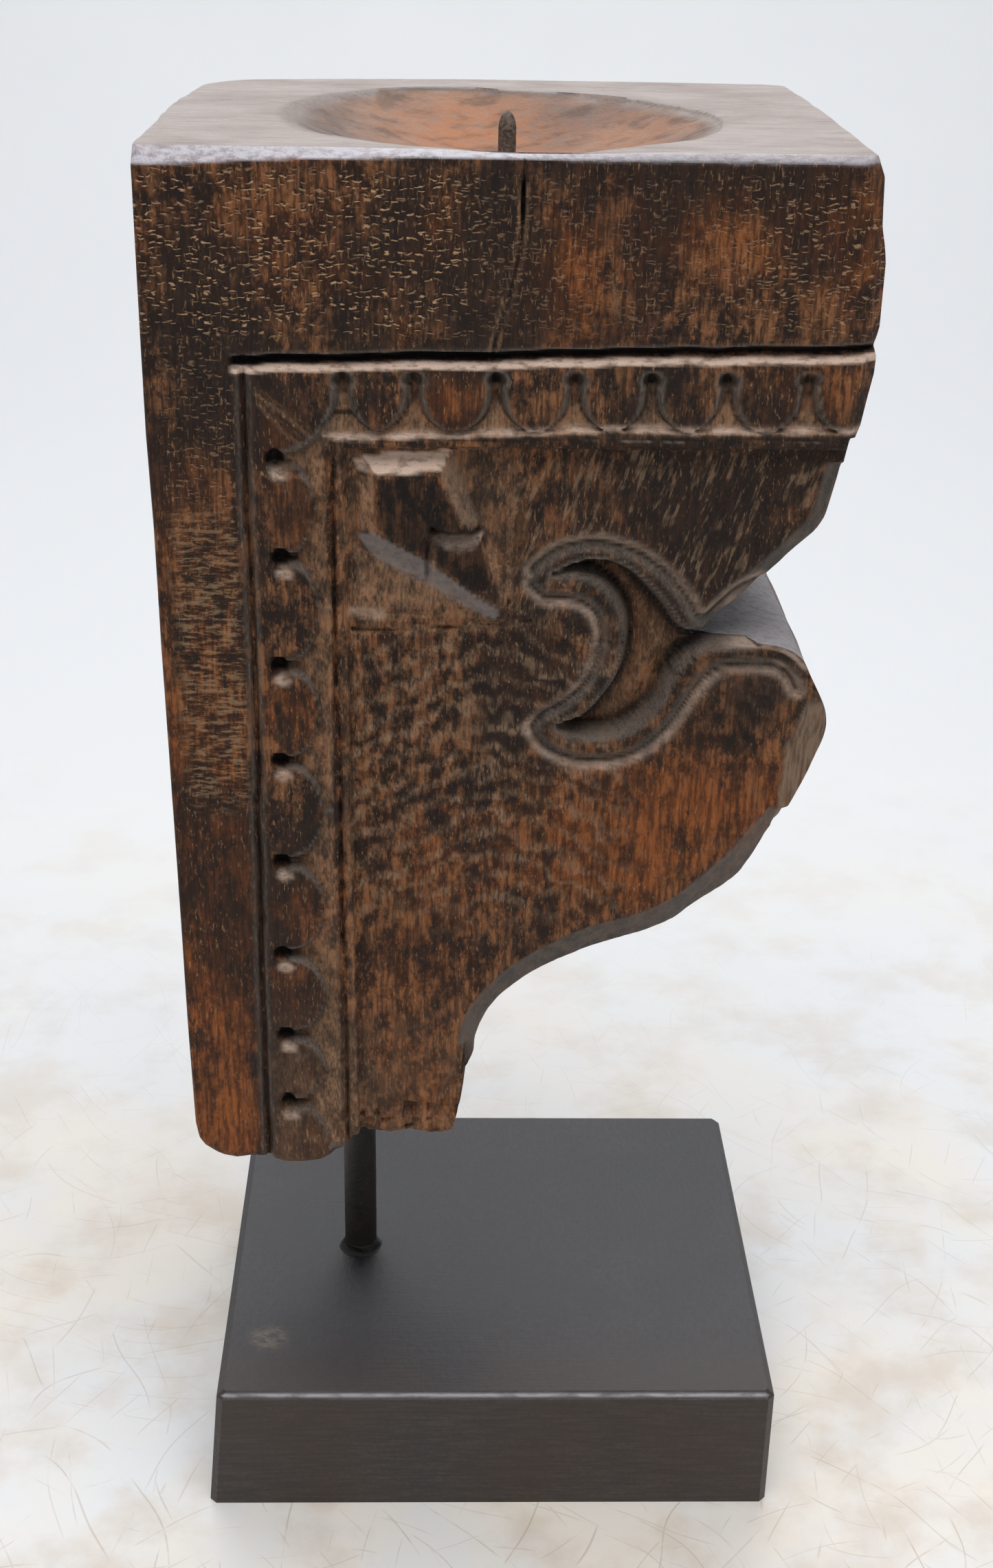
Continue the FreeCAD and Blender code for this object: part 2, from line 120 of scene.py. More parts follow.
def finish_with(colour, roughness, *reliefs):
    """Joins colour, roughness and reliefs to the surface: each relief is a pattern, its height in
    metres and its strength, laid one on another."""
    under = None
    for height, metres, strength in reliefs:
        made = node("Bump", {"Height": height, "Distance": metres, "Strength": strength})
        if under is not None:
            tree.links.new(under, made.inputs["Normal"])
        under = made.outputs[0]
    for socket, value in (("Base Color", colour), ("Roughness", roughness), ("Normal", under)):
        tree.links.new(value, shader.inputs[socket])


def dress(name, material):
    """Puts one material on every slot of a node of the frame."""
    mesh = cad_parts[name].data
    if not mesh.materials:
        mesh.materials.append(material)
    for number in range(len(mesh.materials)):
        mesh.materials[number] = material


plinth_low, plinth_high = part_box("base_block")
black, tree, shader, here = new_material("satin_black_paint")
place = node("SeparateXYZ", {0: here}).outputs
up = node("SeparateXYZ", {0: node("NewGeometry").outputs["Normal"]}).outputs[2]
cloud = noise(28, detail=5)
brush = noise(900, (1, 0.5, 1), detail=5, roughness=0.7)
grain = noise(1300, (0.07, 1, 1), detail=5, roughness=0.65)
from_front = less(place[1], float(plinth_low.y))
arris = sum_of("MAXIMUM", less(float(plinth_high.z), place[2]), from_front)
# Pale front top arris: worn paint, and a painted highlight along the eased edge.
worn_and_highlit = times(ramp(arris, 0.0007, 0.0013, 1.0, 0.0),
             ramp(noise(420, (0.35, 1, 1), detail=5), 0.30, 0.60, 0.30, 1.0))
scuffed_at = (-0.0535, -0.0365, plinth_high.z)
from_scuff = node("VectorMath", {0: here, 1: scuffed_at}, operation="DISTANCE").outputs["Value"]
scuff = times(ramp(from_scuff, 0.001, 0.0062, 1.0, 0.0),
              ramp(noise(420, (1, 1.6, 1), detail=6, roughness=0.7), 0.40, 0.66))
rubbed = times(ramp(noise(900, detail=2), 0.70, 0.78), ramp(noise(45, detail=3), 0.50, 0.70))
near_front = ramp(from_front, 0.0, 0.032, 1.0, 0.0)
# The top, picked out by facing up, is painted a cooler grey than the sides: a painted reflection of the pale sky on
# the satin.
top_paint_with_reflection = layers((0.025, 0.024, 0.0285), (ramp(cloud, 0.35, 0.70), (0.044, 0.040, 0.045)))
side_paint = layers((0.033, 0.024, 0.0205), (ramp(grain, 0.42, 0.62), (0.064, 0.0475, 0.040)))
paint = layers(side_paint, (ramp(up, 0.3, 0.9), top_paint_with_reflection),
               (ramp(brush, 0.36, 0.62, 0.55, 0.0), (0.015, 0.0135, 0.0145)),
               (times(near_front, ramp(cloud, 0.40, 0.60, 0.15, 0.55)), (0.048, 0.030, 0.0225)),
               (times(rubbed, 0.45), (0.10, 0.08, 0.065)), (times(scuff, 0.75), (0.22, 0.175, 0.120)),
               (worn_and_highlit, (0.38, 0.36, 0.39)))
gloss = less(times_plus(brush, 0.10, times_plus(cloud, 0.14, 0.32)), times(worn_and_highlit, 0.15))
finish_with(paint, gloss, (grain, 0.00018, 0.6), (brush, 0.00022, 0.6), (noise(1300, detail=2), 0.00008, 0.45))
dress("base_block", black)


# ---------------------------------------------------------------- washer and nut
# Under the plinth, in a bored recess, a plain washer and a hexagon nut draw the rod down tight.
# Bright mild steel gone dull, with a little brown rust in the corners and on the flats.
steel, tree, shader, here = new_material("dull_steel")
spots = noise(520, detail=6)
metal = layers((0.17, 0.165, 0.16), (ramp(spots, 0.46, 0.62), (0.115, 0.062, 0.036)))
shader.inputs["Metallic"].default_value = 0.75
finish_with(metal, times_plus(spots, 0.45, 0.22), (spots, 0.00012, 0.5),
            (noise(300, (1, 1, 14), detail=3), 0.00008, 0.4))
dress("rod_washer", steel)
dress("rod_nut", steel)


# ---------------------------------------------------------------- rod
# An 8 mm iron rod, up through the plinth and glued 50 mm into the foot of the bracket. It was
# brushed black with the plinth, over rust, so its skin is rough and slightly uneven.
def lathe(name, middle, heights, radii, sides, uneven=0.0, seed=0):
    """Turned surface: at each height a ring of sides points at that radius round the middle,
    the radius multiplied by one plus uneven times a smooth random wave; both ends close to a point."""
    draw = np.random.default_rng(seed)
    heights, radii = np.asarray(heights, float), np.asarray(radii, float)
    angle = np.arange(sides) * 2 * np.pi / sides
    wave = sum(np.sin(n * angle[None, :] + heights[:, None] * draw.uniform(300, 2400) + draw.uniform(0, 6.28))
               * draw.uniform(0.3, 1.0) / n for n in range(2, 9))
    reach = radii[:, None] * (1 + uneven * wave)
    ring = np.stack([middle[0] + reach * np.cos(angle), middle[1] + reach * np.sin(angle),
                     np.broadcast_to(heights[:, None], reach.shape)], -1)
    points = np.concatenate([ring.reshape(-1, 3), [[middle[0], middle[1], heights[0]],
                                                   [middle[0], middle[1], heights[-1]]]])
    rows = len(heights)
    low, side = np.meshgrid(np.arange(rows - 1), np.arange(sides), indexing="ij")
    onward = (side + 1) % sides
    walls = np.stack([low * sides + side, low * sides + onward,
                      (low + 1) * sides + onward, (low + 1) * sides + side], -1).reshape(-1, 4)
    first, last = rows * sides, rows * sides + 1
    around = np.arange(sides)
    beyond = (around + 1) % sides
    ends = np.concatenate([np.stack([beyond, around, np.full(sides, first)], -1),
                           np.stack([around + (rows - 1) * sides, beyond + (rows - 1) * sides,
                                     np.full(sides, last)], -1)])
    return new_piece(name, points, walls, ends)


def new_piece(name, points, quads, triangles):
    """A mesh object at the origin from point, four-sided and three-sided arrays."""
    mesh = bpy.data.meshes.new(name)
    corners = np.concatenate([np.asarray(quads, np.int32).ravel(), np.asarray(triangles, np.int32).ravel()])
    starts = np.concatenate([np.arange(len(quads)) * 4, len(quads) * 4 + np.arange(len(triangles)) * 3])
    mesh.vertices.add(len(points))
    mesh.vertices.foreach_set("co", np.asarray(points, np.float32).ravel())
    mesh.loops.add(len(corners))
    mesh.loops.foreach_set("vertex_index", corners.astype(np.int32))
    mesh.polygons.add(len(starts))
    mesh.polygons.foreach_set("loop_start", starts.astype(np.int32))
    mesh.update(calc_edges=True)
    mesh.validate()
    mesh.polygons.foreach_set("use_smooth", np.full(len(mesh.polygons), True))
    piece = bpy.data.objects.new(name, mesh)
    bpy.context.scene.collection.objects.link(piece)
    return piece


rod_low, rod_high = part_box("stand_rod")
rod_middle = ((rod_low.x + rod_high.x) / 2, (rod_low.y + rod_high.y) / 2)
rod_radius = (rod_high.x - rod_low.x) / 2
steps = np.linspace(rod_low.z + 0.0006, rod_high.z - 0.0006, 150)
rod_heights = np.concatenate([[rod_low.z, rod_low.z], steps, [rod_high.z, rod_high.z]])
rod_radii = np.concatenate([[rod_radius * 0.5, rod_radius * 0.86], np.full(150, rod_radius * 0.985),
                            [rod_radius * 0.86, rod_radius * 0.5]])
rod = lathe("iron_rod", rod_middle, rod_heights, rod_radii, 40, 0.006, 11)

black_iron, tree, shader, here = new_material("brushed_black_iron")
scale_skin = noise(700, detail=6, roughness=0.65)
patches = noise(110, (1, 1, 0.5), detail=4)
skin = layers((0.0105, 0.0085, 0.0075), (ramp(patches, 0.40, 0.62), (0.026, 0.018, 0.0135)),
              (ramp(scale_skin, 0.60, 0.72, 0.0, 0.5), (0.075, 0.050, 0.036)))
finish_with(skin, times_plus(scale_skin, 0.5, 0.30), (patches, 0.0004, 0.5), (scale_skin, 0.00035, 0.8))
rod.data.materials.append(black_iron)
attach(rod, "root")
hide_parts("stand_rod")


# ---------------------------------------------------------------- bead of filler
# A small bead of black filler, smeared by finger round the foot of the rod to close its hole.
span = np.linspace(0, 1, 14)
foot_of_bead = plinth_high.z
bead_wide, bead_tall = 0.00120, 0.0024
bead_radii = np.concatenate([[rod_radius * 0.7, rod_radius], rod_radius + bead_wide * (1 - span ** 0.55),
                             [rod_radius * 0.7]])
bead_heights = np.concatenate([[foot_of_bead, foot_of_bead], foot_of_bead + bead_tall * span ** 1.5,
                               [foot_of_bead + bead_tall]])
bead = lathe("bead_of_filler", rod_middle, bead_heights, np.maximum(bead_radii, rod_radius * 0.7), 48, 0.085, 5)
putty, tree, shader, here = new_material("black_filler")
lumps = noise(800, detail=5)
finish_with(layers((0.008, 0.0075, 0.008), (lumps, (0.028, 0.024, 0.022))), times_plus(lumps, 0.4, 0.25),
            (lumps, 0.0004, 0.9))
bead.data.materials.append(putty)
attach(bead, "root")
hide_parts("rod_bead")


# ---------------------------------------------------------------- carved bracket
# One block of dense dark hardwood, 131 mm wide, 101 mm thick and 210 mm tall, sawn to its outline and
# carved with chisels on both cheeks. Old, oiled and smoked, with dust in the cuts and worn arrises.
# Positions across (u, from the left edge) and down (d, from the top) are in millimetres here.
wood_low, wood_high = (np.array(corner) * 1000 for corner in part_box("carved_bracket"))
left_edge, front_plane, back_plane, top_plane = wood_low[0] + 0.7, wood_low[1], wood_high[1], wood_high[2]


def smooth_line(points, step=0.5):
    """Catmull-Rom curve through the points, cut every step millimetres."""
    knots = np.asarray(points, float)
    ends = np.concatenate([[2 * knots[0] - knots[1]], knots, [2 * knots[-1] - knots[-2]]])
    pieces = []
    for a, b, c, e in zip(ends[:-3], ends[1:-2], ends[2:-1], ends[3:]):
        t = np.linspace(0, 1, max(2, int(np.hypot(*(c - b)) / step) + 1), endpoint=False)[:, None]
        pieces.append(0.5 * (2 * b + (c - a) * t + (2 * a - 5 * b + 4 * c - e) * t ** 2
                             + (3 * b - a - 3 * c + e) * t ** 3))
    return np.concatenate(pieces + [knots[-1:]])


def to_line(u, d, line):
    """Distance from each place to an open line of straight runs: to the nearest point of each run
    (the foot of the perpendicular, kept between the run's ends), and the least of those."""
    best = np.full(u.shape, 1e9)
    line = np.asarray(line, float)
    for a, b in zip(line[:-1], line[1:]):
        run = b - a
        t = np.clip(((u - a[0]) * run[0] + (d - a[1]) * run[1]) / max(run @ run, 1e-9), 0, 1)
        best = np.minimum(best, np.hypot(u - a[0] - t * run[0], d - a[1] - t * run[1]))
    return best


def within(u, d, ring):
    """True where a ray to the right from the place crosses the closed ring an odd number of times."""
    ring = np.asarray(ring, float)
    odd = np.zeros(u.shape, bool)
    for a, b in zip(ring, np.roll(ring, -1, 0)):
        if a[1] != b[1]:
            odd ^= ((a[1] > d) != (b[1] > d)) & (u < (b[0] - a[0]) * (d - a[1]) / (b[1] - a[1]) + a[0])
    return odd


def inward(u, d, ring):
    """Distance to a closed ring, positive inside it and negative outside."""
    gap = to_line(u, d, np.concatenate([ring, ring[:1]]))
    return np.where(within(u, d, ring), gap, -gap)


def step(x, low, high):
    """S curve from 0 at low to 1 at high: three t squared less two t cubed."""
    t = np.clip((np.asarray(x, float) - low) / (high - low), 0, 1)
    return t * t * (3 - 2 * t)


def lumps_of(x, y, size, seed):
    """Smooth random height: a table of random numbers one size apart, blended with S curves, -1 to 1."""
    table = np.random.default_rng(seed).uniform(-1, 1, (97, 89))
    x, y = np.asarray(x, float) / size + 500, np.asarray(y, float) / size + 500
    i, j = np.floor(x).astype(int), np.floor(y).astype(int)
    a, b = step(x - i, 0, 1), step(y - j, 0, 1)
    at = lambda p, q: table[p % 97, q % 89]
    return ((at(i, j) * (1 - a) + at(i + 1, j) * a) * (1 - b)
            + (at(i, j + 1) * (1 - a) + at(i + 1, j + 1) * a) * b)


# The sawn outline, right side from the top corner round to the heel, then the underside.
right_side = np.concatenate([
    [(128, 0), (128.6, 1.6), (129.4, 3.5), (129.8, 12), (130.6, 15.5), (131, 18), (131, 30), (130.2, 32.8),
     (130.9, 35), (130.8, 38), (130, 42.5), (129.2, 47.7), (127.7, 51), (127, 54)],
    smooth_line([(126.2, 58.2), (125.1, 63.5), (124.4, 66.1), (122.7, 68.8), (119.7, 71.6), (114.3, 77.1),
                 (110.6, 80.8), (105.5, 85.4), (102.6, 88.6), (100.6, 90.6)], 1.0),
    smooth_line([(100.3, 91), (103, 91), (106.3, 90.7), (111, 90.6), (114.5, 90.8), (119, 91.7), (122.5, 94),
                 (124.6, 98), (126.4, 101.4), (128.2, 105.4), (129, 109), (128.8, 112.4), (127.4, 116),
                 (125, 121.4), (121.6, 127.2), (118.6, 132.2), (117.2, 135.8), (115.3, 140), (113.3, 143.2),
                 (109.1, 146.4), (104.4, 149.6), (101, 152.9), (94.7, 156.1), (84.5, 159.8), (79, 162.1),
                 (73, 165.2), (68, 168.8), (64.2, 172.8), (61.6, 177.8)], 1.0),
    [(60.6, 181), (60.5, 184.8), (60.1, 187), (59.3, 189.2), (58.3, 190.8), (57.9, 194), (56.9, 199), (56.3, 202),
     (54.8, 203.6)]])
underside = np.array([(2, 201), (2.6, 203.4), (3.8, 205.2), (7, 207.6), (10.5, 208.4), (14, 207.7), (17.4, 208.2),
                      (20.5, 209.4), (24.2, 209.5), (28, 208.9), (31.3, 207), (33.4, 206.2), (34.4, 204.9),
                      (35, 203.4), (38, 202.9), (43, 203.5), (47, 202.8), (51, 203.6), (54.8, 203.6)])


def stations(line, spacing):
    """Points along a line so that the gap between two is spacing, itself a function of the place."""
    run = np.concatenate([[0], np.cumsum(np.hypot(*np.diff(line, axis=0).T))])
    fine = np.arange(0, run[-1], 0.02)
    u, d = np.interp(fine, run, line[:, 0]), np.interp(fine, run, line[:, 1])
    count = np.concatenate([[0], np.cumsum(0.02 / spacing(u, d))])[:-1]
    total = 2 * int(np.ceil(count[-1] / 2))
    wanted = np.linspace(0, count[-1], total + 1)
    return np.stack([np.interp(wanted, count, u), np.interp(wanted, count, d)], -1)


def row_gap(u, d):
    """Row spacing: close along the top bevel, the borders and the scroll, open on plain wood."""
    gap = np.select([d < 5, d < 31.5, d < 52, d < 118], [0.5, 1.6, 0.46, 0.76], 0.98)
    gap = np.where((d > 60) & (d < 100) & (u < 124.5), 1.15, gap)
    return np.where(d > 199, 0.5, gap)


right = stations(right_side, row_gap)
rows = len(right)
fall = np.diff(right[:, 1])
left_down = np.concatenate([[0], np.cumsum(np.maximum(fall, 0.10))])
foot_left, foot_right = underside[0, 1], underside[-1, 1]
slack = left_down[-1] - foot_left
trim = np.where(fall > 0.25, fall, 0)
left_down[1:] -= np.cumsum(trim) * slack / trim.sum()
left_in = np.interp(left_down, [0, 3, 33, 51, 68, 91, 140, 178, 201],
                    [-0.55, -0.7, -0.7, -0.6, -0.1, 0.1, 0.9, 1.4, 2.0])
panel_from = 34.0
fixed = np.concatenate([[0, 0.25, 0.6, 1.1, 1.9, 3.2], np.arange(4.8, 14.0, 1.7), np.arange(14.6, panel_from, 0.54)])
fine = np.arange(panel_from, 130.0, 0.02)
count = np.cumsum(0.02 / np.select([fine < 59, fine < 68.5, fine < 106, fine < 125], [0.64, 0.33, 0.64, 0.95], 0.5))
total = int(count[-1])
total += (len(fixed) + total + 1) % 2
share = (np.interp(np.linspace(0, count[-1], total), count, fine) - panel_from) / (fine[-1] - panel_from)
across = np.empty((rows, len(fixed) + len(share)))
across[:, :len(fixed)] = left_in[:, None] * (1 - step(fixed / 14, 0, 1)) + fixed
across[:, len(fixed):] = panel_from + (right[:, :1] - panel_from) * share
columns = across.shape[1]
part_way = (across - across[:, :1]) / (across[:, -1:] - across[:, :1])
down = left_down[:, None] * (1 - part_way) + right[:, 1:] * part_way
foot_line = np.interp(across, underside[:, 0], underside[:, 1])
floor_of_row = foot_left * (1 - part_way[-1]) + foot_right * part_way[-1]
foot_from = 188.0
reach = np.clip((down - foot_from) / (floor_of_row[None, :] - foot_from), 0, 1)
down = np.where(down > foot_from, foot_from + reach * (np.maximum(foot_line, 195) - foot_from), down)


def carving(u, d):
    """Depth of the carved cheek behind its front plane, in millimetres, and how strongly each mark the
    material reads shows in each place. Grooves are V lines (depth falling with the distance to a line),
    sunk fields are S curves of the distance inside their outline, and edges fall away near the outline."""
    # The carver's own axes: s, t turned with the borders, and sp, tp drawn in a little for the sunk panel.
    s, t = u - 0.0089 * (d - 2), d - 2 + 0.0089 * u
    sp, tp = s - 0.0067 * (s - 53), t - 0.0067 * (t + 58)
    vee = lambda gap, depth, half: depth * np.clip(1 - gap / half, 0, 1) ** 0.85
    dust, wear_and_highlight, edge_grey, dark = (np.zeros(u.shape) for _ in range(4))
    ragged = 0.25 * lumps_of(s, t, 2.1, 3) + 0.14 * lumps_of(s, t, 0.9, 4)

    def darken(amount):
        """Blackens each place at least that much: mostly painted shade in the grooves, drilled heads, hollows and
        under lips.
        """
        nonlocal dark
        dark = np.maximum(dark, amount)

    def facet_of(*corners):
        """Distance inside a flat facet with those corners."""
        return inward(sp, tp, np.array(corners))

    def gap_to(*places):
        """Distance to a line through those places."""
        return to_line(sp, tp, np.array(places))

    # Sunk panel, right of and below the border.
    panel_in = np.minimum(sp - 34.2 + 0.5 * ragged, tp - 49.9 + 0.6 * ragged)
    panel = step(panel_in, -0.1, 0.9)
    depth = 2.5 * panel
    in_panel = panel_in > 0.4

    # Top block: a saw groove with a steep upper wall and a worn lip below it. The groove is painted black as shade
    # and the lip pale, as wear and a painted highlight.
    groove_line = 34.6 - 0.0196 * (s - 15.5) + 0.22 * lumps_of(s, s * 0, 6, 8)
    below = t - groove_line
    along = step(s, 14.2, 15.6)
    sawn = np.where(below < 0.15, step(below, -0.75, -0.25), 1 - step(below, 0.15, 2.3) ** 0.8)
    depth = np.maximum(depth, 2.5 * sawn * along)
    edge_grey += 0.9 * step(below, -1.5, -0.9) * step(below, -0.1, -0.6) * along
    wear_and_highlight += 1.35 * step(below, 1.0, 1.35) * step(below, 2.7, 2.2) * along * (0.8 + 0.9 * ragged)
    # Upright groove between the plain band and the side border.
    upright_line = np.interp(t, [35, 118, 122, 148, 152, 206], [16.7, 16.7, 16.1, 16.0, 15.6, 15.4])
    upright = np.abs(s - upright_line - 0.15 * lumps_of(t, t * 0, 8, 9))
    depth = np.maximum(depth, np.where(t > 33.5, vee(upright, 1.5, 0.85), 0))
    edge_grey += 0.6 * np.where(t > 35, step(upright, 1.9, 0.9) * step(upright, 0.4, 0.8), 0)
    # Painted shade along the floor of the upright groove.
    darken(np.where(t > 34, 0.30 * step(upright, 0.6, 0.15), 0))

    # Top border: half-round petals hanging down, a keyhole with a drilled head between each two.
    heads = np.array([34.6, 47.4, 62.3, 76.5, 90.3, 104.0, 118.7])
    gap = np.abs(s[..., None] - heads).min(-1)
    flare = np.interp(t, [39.2, 41, 43, 44.5, 45.8, 46.8, 47.5, 47.9], [1.1, 1.3, 1.6, 2.2, 3.2, 4.4, 5.6, 7.2])
    head_gap = np.hypot(s[..., None] - heads, t[..., None] - 38.5).min(-1)
    open_gap = np.maximum(flare - gap, -3)
    on_top = (t > 36.3) & (t < 49.6) & (s > 30.5)
    hollow = step(open_gap, -0.35, 0.65) * step(t, 38.2, 39.6)
    hollow = np.maximum(hollow, step(head_gap, 1.95, 1.05))
    hollow *= on_top * step(t, 49.3, 48.3)
    sunk = hollow * np.interp(t, [36.5, 38.5, 41.5, 45, 48.4], [2.2, 2.7, 2.1, 1.9, 1.5])
    floor = step(open_gap, 0.5, 1.3) * on_top
    dust += floor * step(t, 40, 45) * step(t, 49.2, 48.2)
    edge_grey += on_top * step(np.abs(open_gap + 0.1), 0.95, 0.4) * step(t, 36.5, 38.5) * step(t, 48.8, 48)
    edge_grey += on_top * step(head_gap, 2.7, 2.1) * step(head_gap, 1.2, 1.6) * step(t, 40.5, 39)
    # Painted shadow in the upper part of each drilled head, and painted shade down the petal walls.
    head_shade = np.array([0.1, 0.35, 0.9, 0.8, 0.9, 0.85, 0.6])[np.abs(s[..., None] - heads).argmin(-1)]
    darken(head_shade * on_top * step(head_gap, 1.35, 0.6) * step(t, 39.8, 38.8))
    dust += 0.8 * on_top * step(head_gap, 2.2, 1.4) * step(t, 38.4, 39.6)
    darken(0.55 * on_top * step(np.abs(open_gap - 0.55), 0.5, 0.1) * step(t, 42, 45) * step(t, 48.4, 47.6))
    darken(0.7 * (s < 37.4) * on_top * step(open_gap, 0.0, 0.6) * step(np.abs(t - 44.5), 0.8, 0.4))
    # Thin strip under the petals: its upper edge catches the light, its lower edge drops to the panel.
    strip = (s > 30.5) & (t > 47.6) & (tp < 51.2)
    ledge = np.interp(s, [31, 60, 66, 84, 95, 128], [48.7, 48.0, 47.6, 46.9, 47.2, 47.3]) + 0.9 * ragged
    rise = step(t, ledge - 0.5, ledge + 0.8)
    sunk = np.where(strip, np.maximum(sunk * (1 - rise), 1.15 * (1 - rise) + 0.35), sunk)
    # Painted highlight along the strip's upper edge, kept with the wear, and painted shade below it where the edge
    # faces down.
    wear_and_highlight += 0.95 * on_top * np.exp(-((t - ledge - 0.15) / 0.65) ** 2) * np.clip(0.75 + 1.9 * ragged, 0, 1)
    darken(0.6 * on_top * step(np.abs(t - ledge - 1.5), 0.8, 0.3))
    wear_and_highlight += 0.5 * on_top * step(np.abs(t - ledge - 2.4), 0.35, 0.1) * np.clip(0.2 + 2.5 * ragged, 0, 1)
    depth = np.maximum(depth, sunk)

    # Side border: the same petals turned, hanging to the right.
    heads_down = np.array([53.0, 72.0, 93.5, 113.5, 135.5, 156.5, 175.8, 192.5])
    heads_in = np.array([22.0, 22.5, 21.5, 21.0, 20.5, 20.0, 20.0, 20.0])
    near = np.abs(t[..., None] - heads_down).argmin(-1)
    head_s, head_t = heads_in[near], heads_down[near]
    beside = np.where(near == 0, np.where(t > head_t, t - head_t, 30.0), np.abs(t - head_t))
    edge = np.interp(t, [50, 100, 150, 207], [29.3, 29.0, 28.6, 28.3])
    spread = (s - head_s - 1.8) / (edge - head_s - 1.8)
    flare = 10.0 * (1 - np.sqrt(np.clip(1 - np.clip(spread, 0, 1) ** 2, 0, 1))) + 1.0
    open_gap = flare - beside
    head_gap = np.hypot(s - head_s, (t - head_t) * 0.95)
    on_side = (s > 17.6) & (s < 31.2) & (t > 49.5)
    hollow = step(open_gap, -0.45, 0.6) * step(s, head_s + 0.4, head_s + 1.6)
    hollow = np.maximum(hollow, step(head_gap, 2.05, 1.1)) * on_side
    sunk = hollow * np.interp(s - head_s, [-1.5, 0, 2.5, 5.5, 8.5], [2.7, 3.4, 2.4, 1.5, 1.1])
    dust += 0.6 * on_side * step(open_gap, 0.3, 1.1) * step(s, head_s + 2.2, head_s + 5.5)
    edge_grey += on_side * step(np.abs(open_gap + 0.1), 0.95, 0.4) * step(s, head_s, head_s + 2)
    # Painted shadow in the upper part of each head and down the petal walls, and a painted highlight below each head,
    # kept with the wear.
    darken(0.95 * on_side * step(head_gap, 2.3, 1.3) * step(t, head_t + 1.5, head_t + 0.5))
    darken(0.6 * on_side * step(np.abs(open_gap - 0.7), 0.7, 0.1) * step(s, head_s + 0.5, head_s + 1.5)
           * step(s, head_s + 6.5, head_s + 3.5) * (t < head_t))
    wear_and_highlight += 0.65 * on_side * step(np.hypot(s - head_s - 0.6, 1.5 * (t - head_t - 2.9)), 2.3, 0.9)
    # Flat strip beside the petals, a scored line, a low ridge, then the panel.
    beside_strip = (t > 49.0) & (sp < 35.2)
    sunk = np.maximum(sunk, np.where(beside_strip, step(s, edge, edge + 1.0), 0))
    sunk = np.maximum(sunk, np.where(beside_strip, vee(np.abs(s - 32.3 - 0.6 * ragged), 2.1, 0.8), 0))
    dust += 0.30 * beside_strip * step(s, 33.0, 33.5) * step(sp, 35.0, 34.4)
    depth = np.maximum(depth, sunk)

    # Corner where the borders meet: one arched spandrel and the two lines of a folded leaf.
    arch = smooth_line([(21.5, 55.4), (21.6, 53.2), (23.5, 51.8), (26.4, 50.9), (29, 49.2), (31.2, 46.6),
                        (32.8, 43.5), (33.4, 40.5)], 0.6)
    corner_field = within(s, t, np.concatenate([arch, [(36, 41), (38, 48.5), (31.5, 49.8), (31, 60), (29.6, 58),
                                                       (26.5, 56), (24, 56.3)]]))
    corner_gap = to_line(s, t, arch)
    depth = np.where(corner_field, np.maximum(depth, 1.7 * step(corner_gap, -0.1, 0.8)), depth)
    dust += 0.6 * corner_field * step(corner_gap, 0.5, 1.3)
    edge_grey += step(corner_gap, 1.0, 0.4)
    for leaf in (((19.6, 40.6), (24, 44.0), (28.8, 48.2)), ((20.0, 42.6), (23.4, 46.6), (26.8, 49.6))):
        leaf_gap = to_line(s, t, smooth_line(leaf, 1.0))
        depth = np.maximum(depth, vee(leaf_gap, 0.8, 0.75))
        dust += 0.5 * step(leaf_gap, 1.1, 0.3)

    # Faceted boss in the upper left of the panel: a flat top left standing, with bevelled sides.
    outside = -facet_of((40.2, 55.2), (51.5, 54.9), (56.8, 65), (61.2, 73), (63.2, 79.2), (61, 79.6), (50.3, 71.6),
                        (40.2, 66.2))
    lower_left = step(sp - 40.2 + (tp - 66.2) * 0.2, -8, 0) * (tp > 60 + 0.55 * (sp - 40))
    slope = np.where(lower_left > 0.5, 0.50, 0.85)
    raised = np.clip(0.15 + slope * np.maximum(outside, 0), 0, 2.6) + 0.06 * ragged
    near_boss = (outside < np.where(lower_left > 0.5, 4.4, 2.8)) & (tp > 51.2) & (sp > 36.8)
    depth = np.where(near_boss & in_panel, np.minimum(depth + 0.5 * step(outside, 6, 2), raised), depth)
    side_facet = step(facet_of((51.8, 55), (54.6, 51.6), (59.8, 65), (56, 65)), 0.0, 0.5)
    edge_grey += 0.45 * side_facet
    dust += 0.35 * side_facet
    dust += 0.55 * step(facet_of((36.6, 55), (40.2, 55.5), (40.2, 65.6), (37.2, 66)), 0.0, 0.6)
    flat_top = facet_of((40.3, 55.4), (51.6, 55), (56, 65), (59.6, 66.5), (62.2, 79), (55, 75.2), (49.5, 70.8),
                        (44, 68), (40.3, 65.6))
    darken(0.62 * step(flat_top, 0.0, 0.4))
    top_facet = facet_of((37.6, 51.7), (54.5, 50.9), (52.2, 54.6), (40.2, 55.3))
    # Painted highlight on the upward facet along the top of the boss, kept with the wear; the shine facet adds
    # painted sheen.
    wear_and_highlight += 1.3 * step(top_facet + 0.3 * ragged, 0.0, 0.3)
    wear_and_highlight += 0.7 * step(facet_of((36, 52.6), (38.2, 52), (40.2, 55), (37.2, 55.2)), 0, 0.5)
    shine = step(facet_of((36.6, 66.6), (40, 65.9), (44, 68.4), (50, 71.7), (55, 75.6), (60, 79.2), (63.4, 81.4),
                          (62.6, 84), (56, 80.8), (50.2, 77.2), (45, 74.9), (40, 72)), 0.0, 0.35)
    wear_and_highlight += 0.12 * shine
    dust += 0.45 * step(facet_of((36, 68.5), (44, 73), (60, 81.5), (36, 82.5)), 0, 1)
    dust += 0.75 * step(gap_to((41, 71.6), (46, 74), (50, 76), (56.5, 80)), 1.1, 0.3)
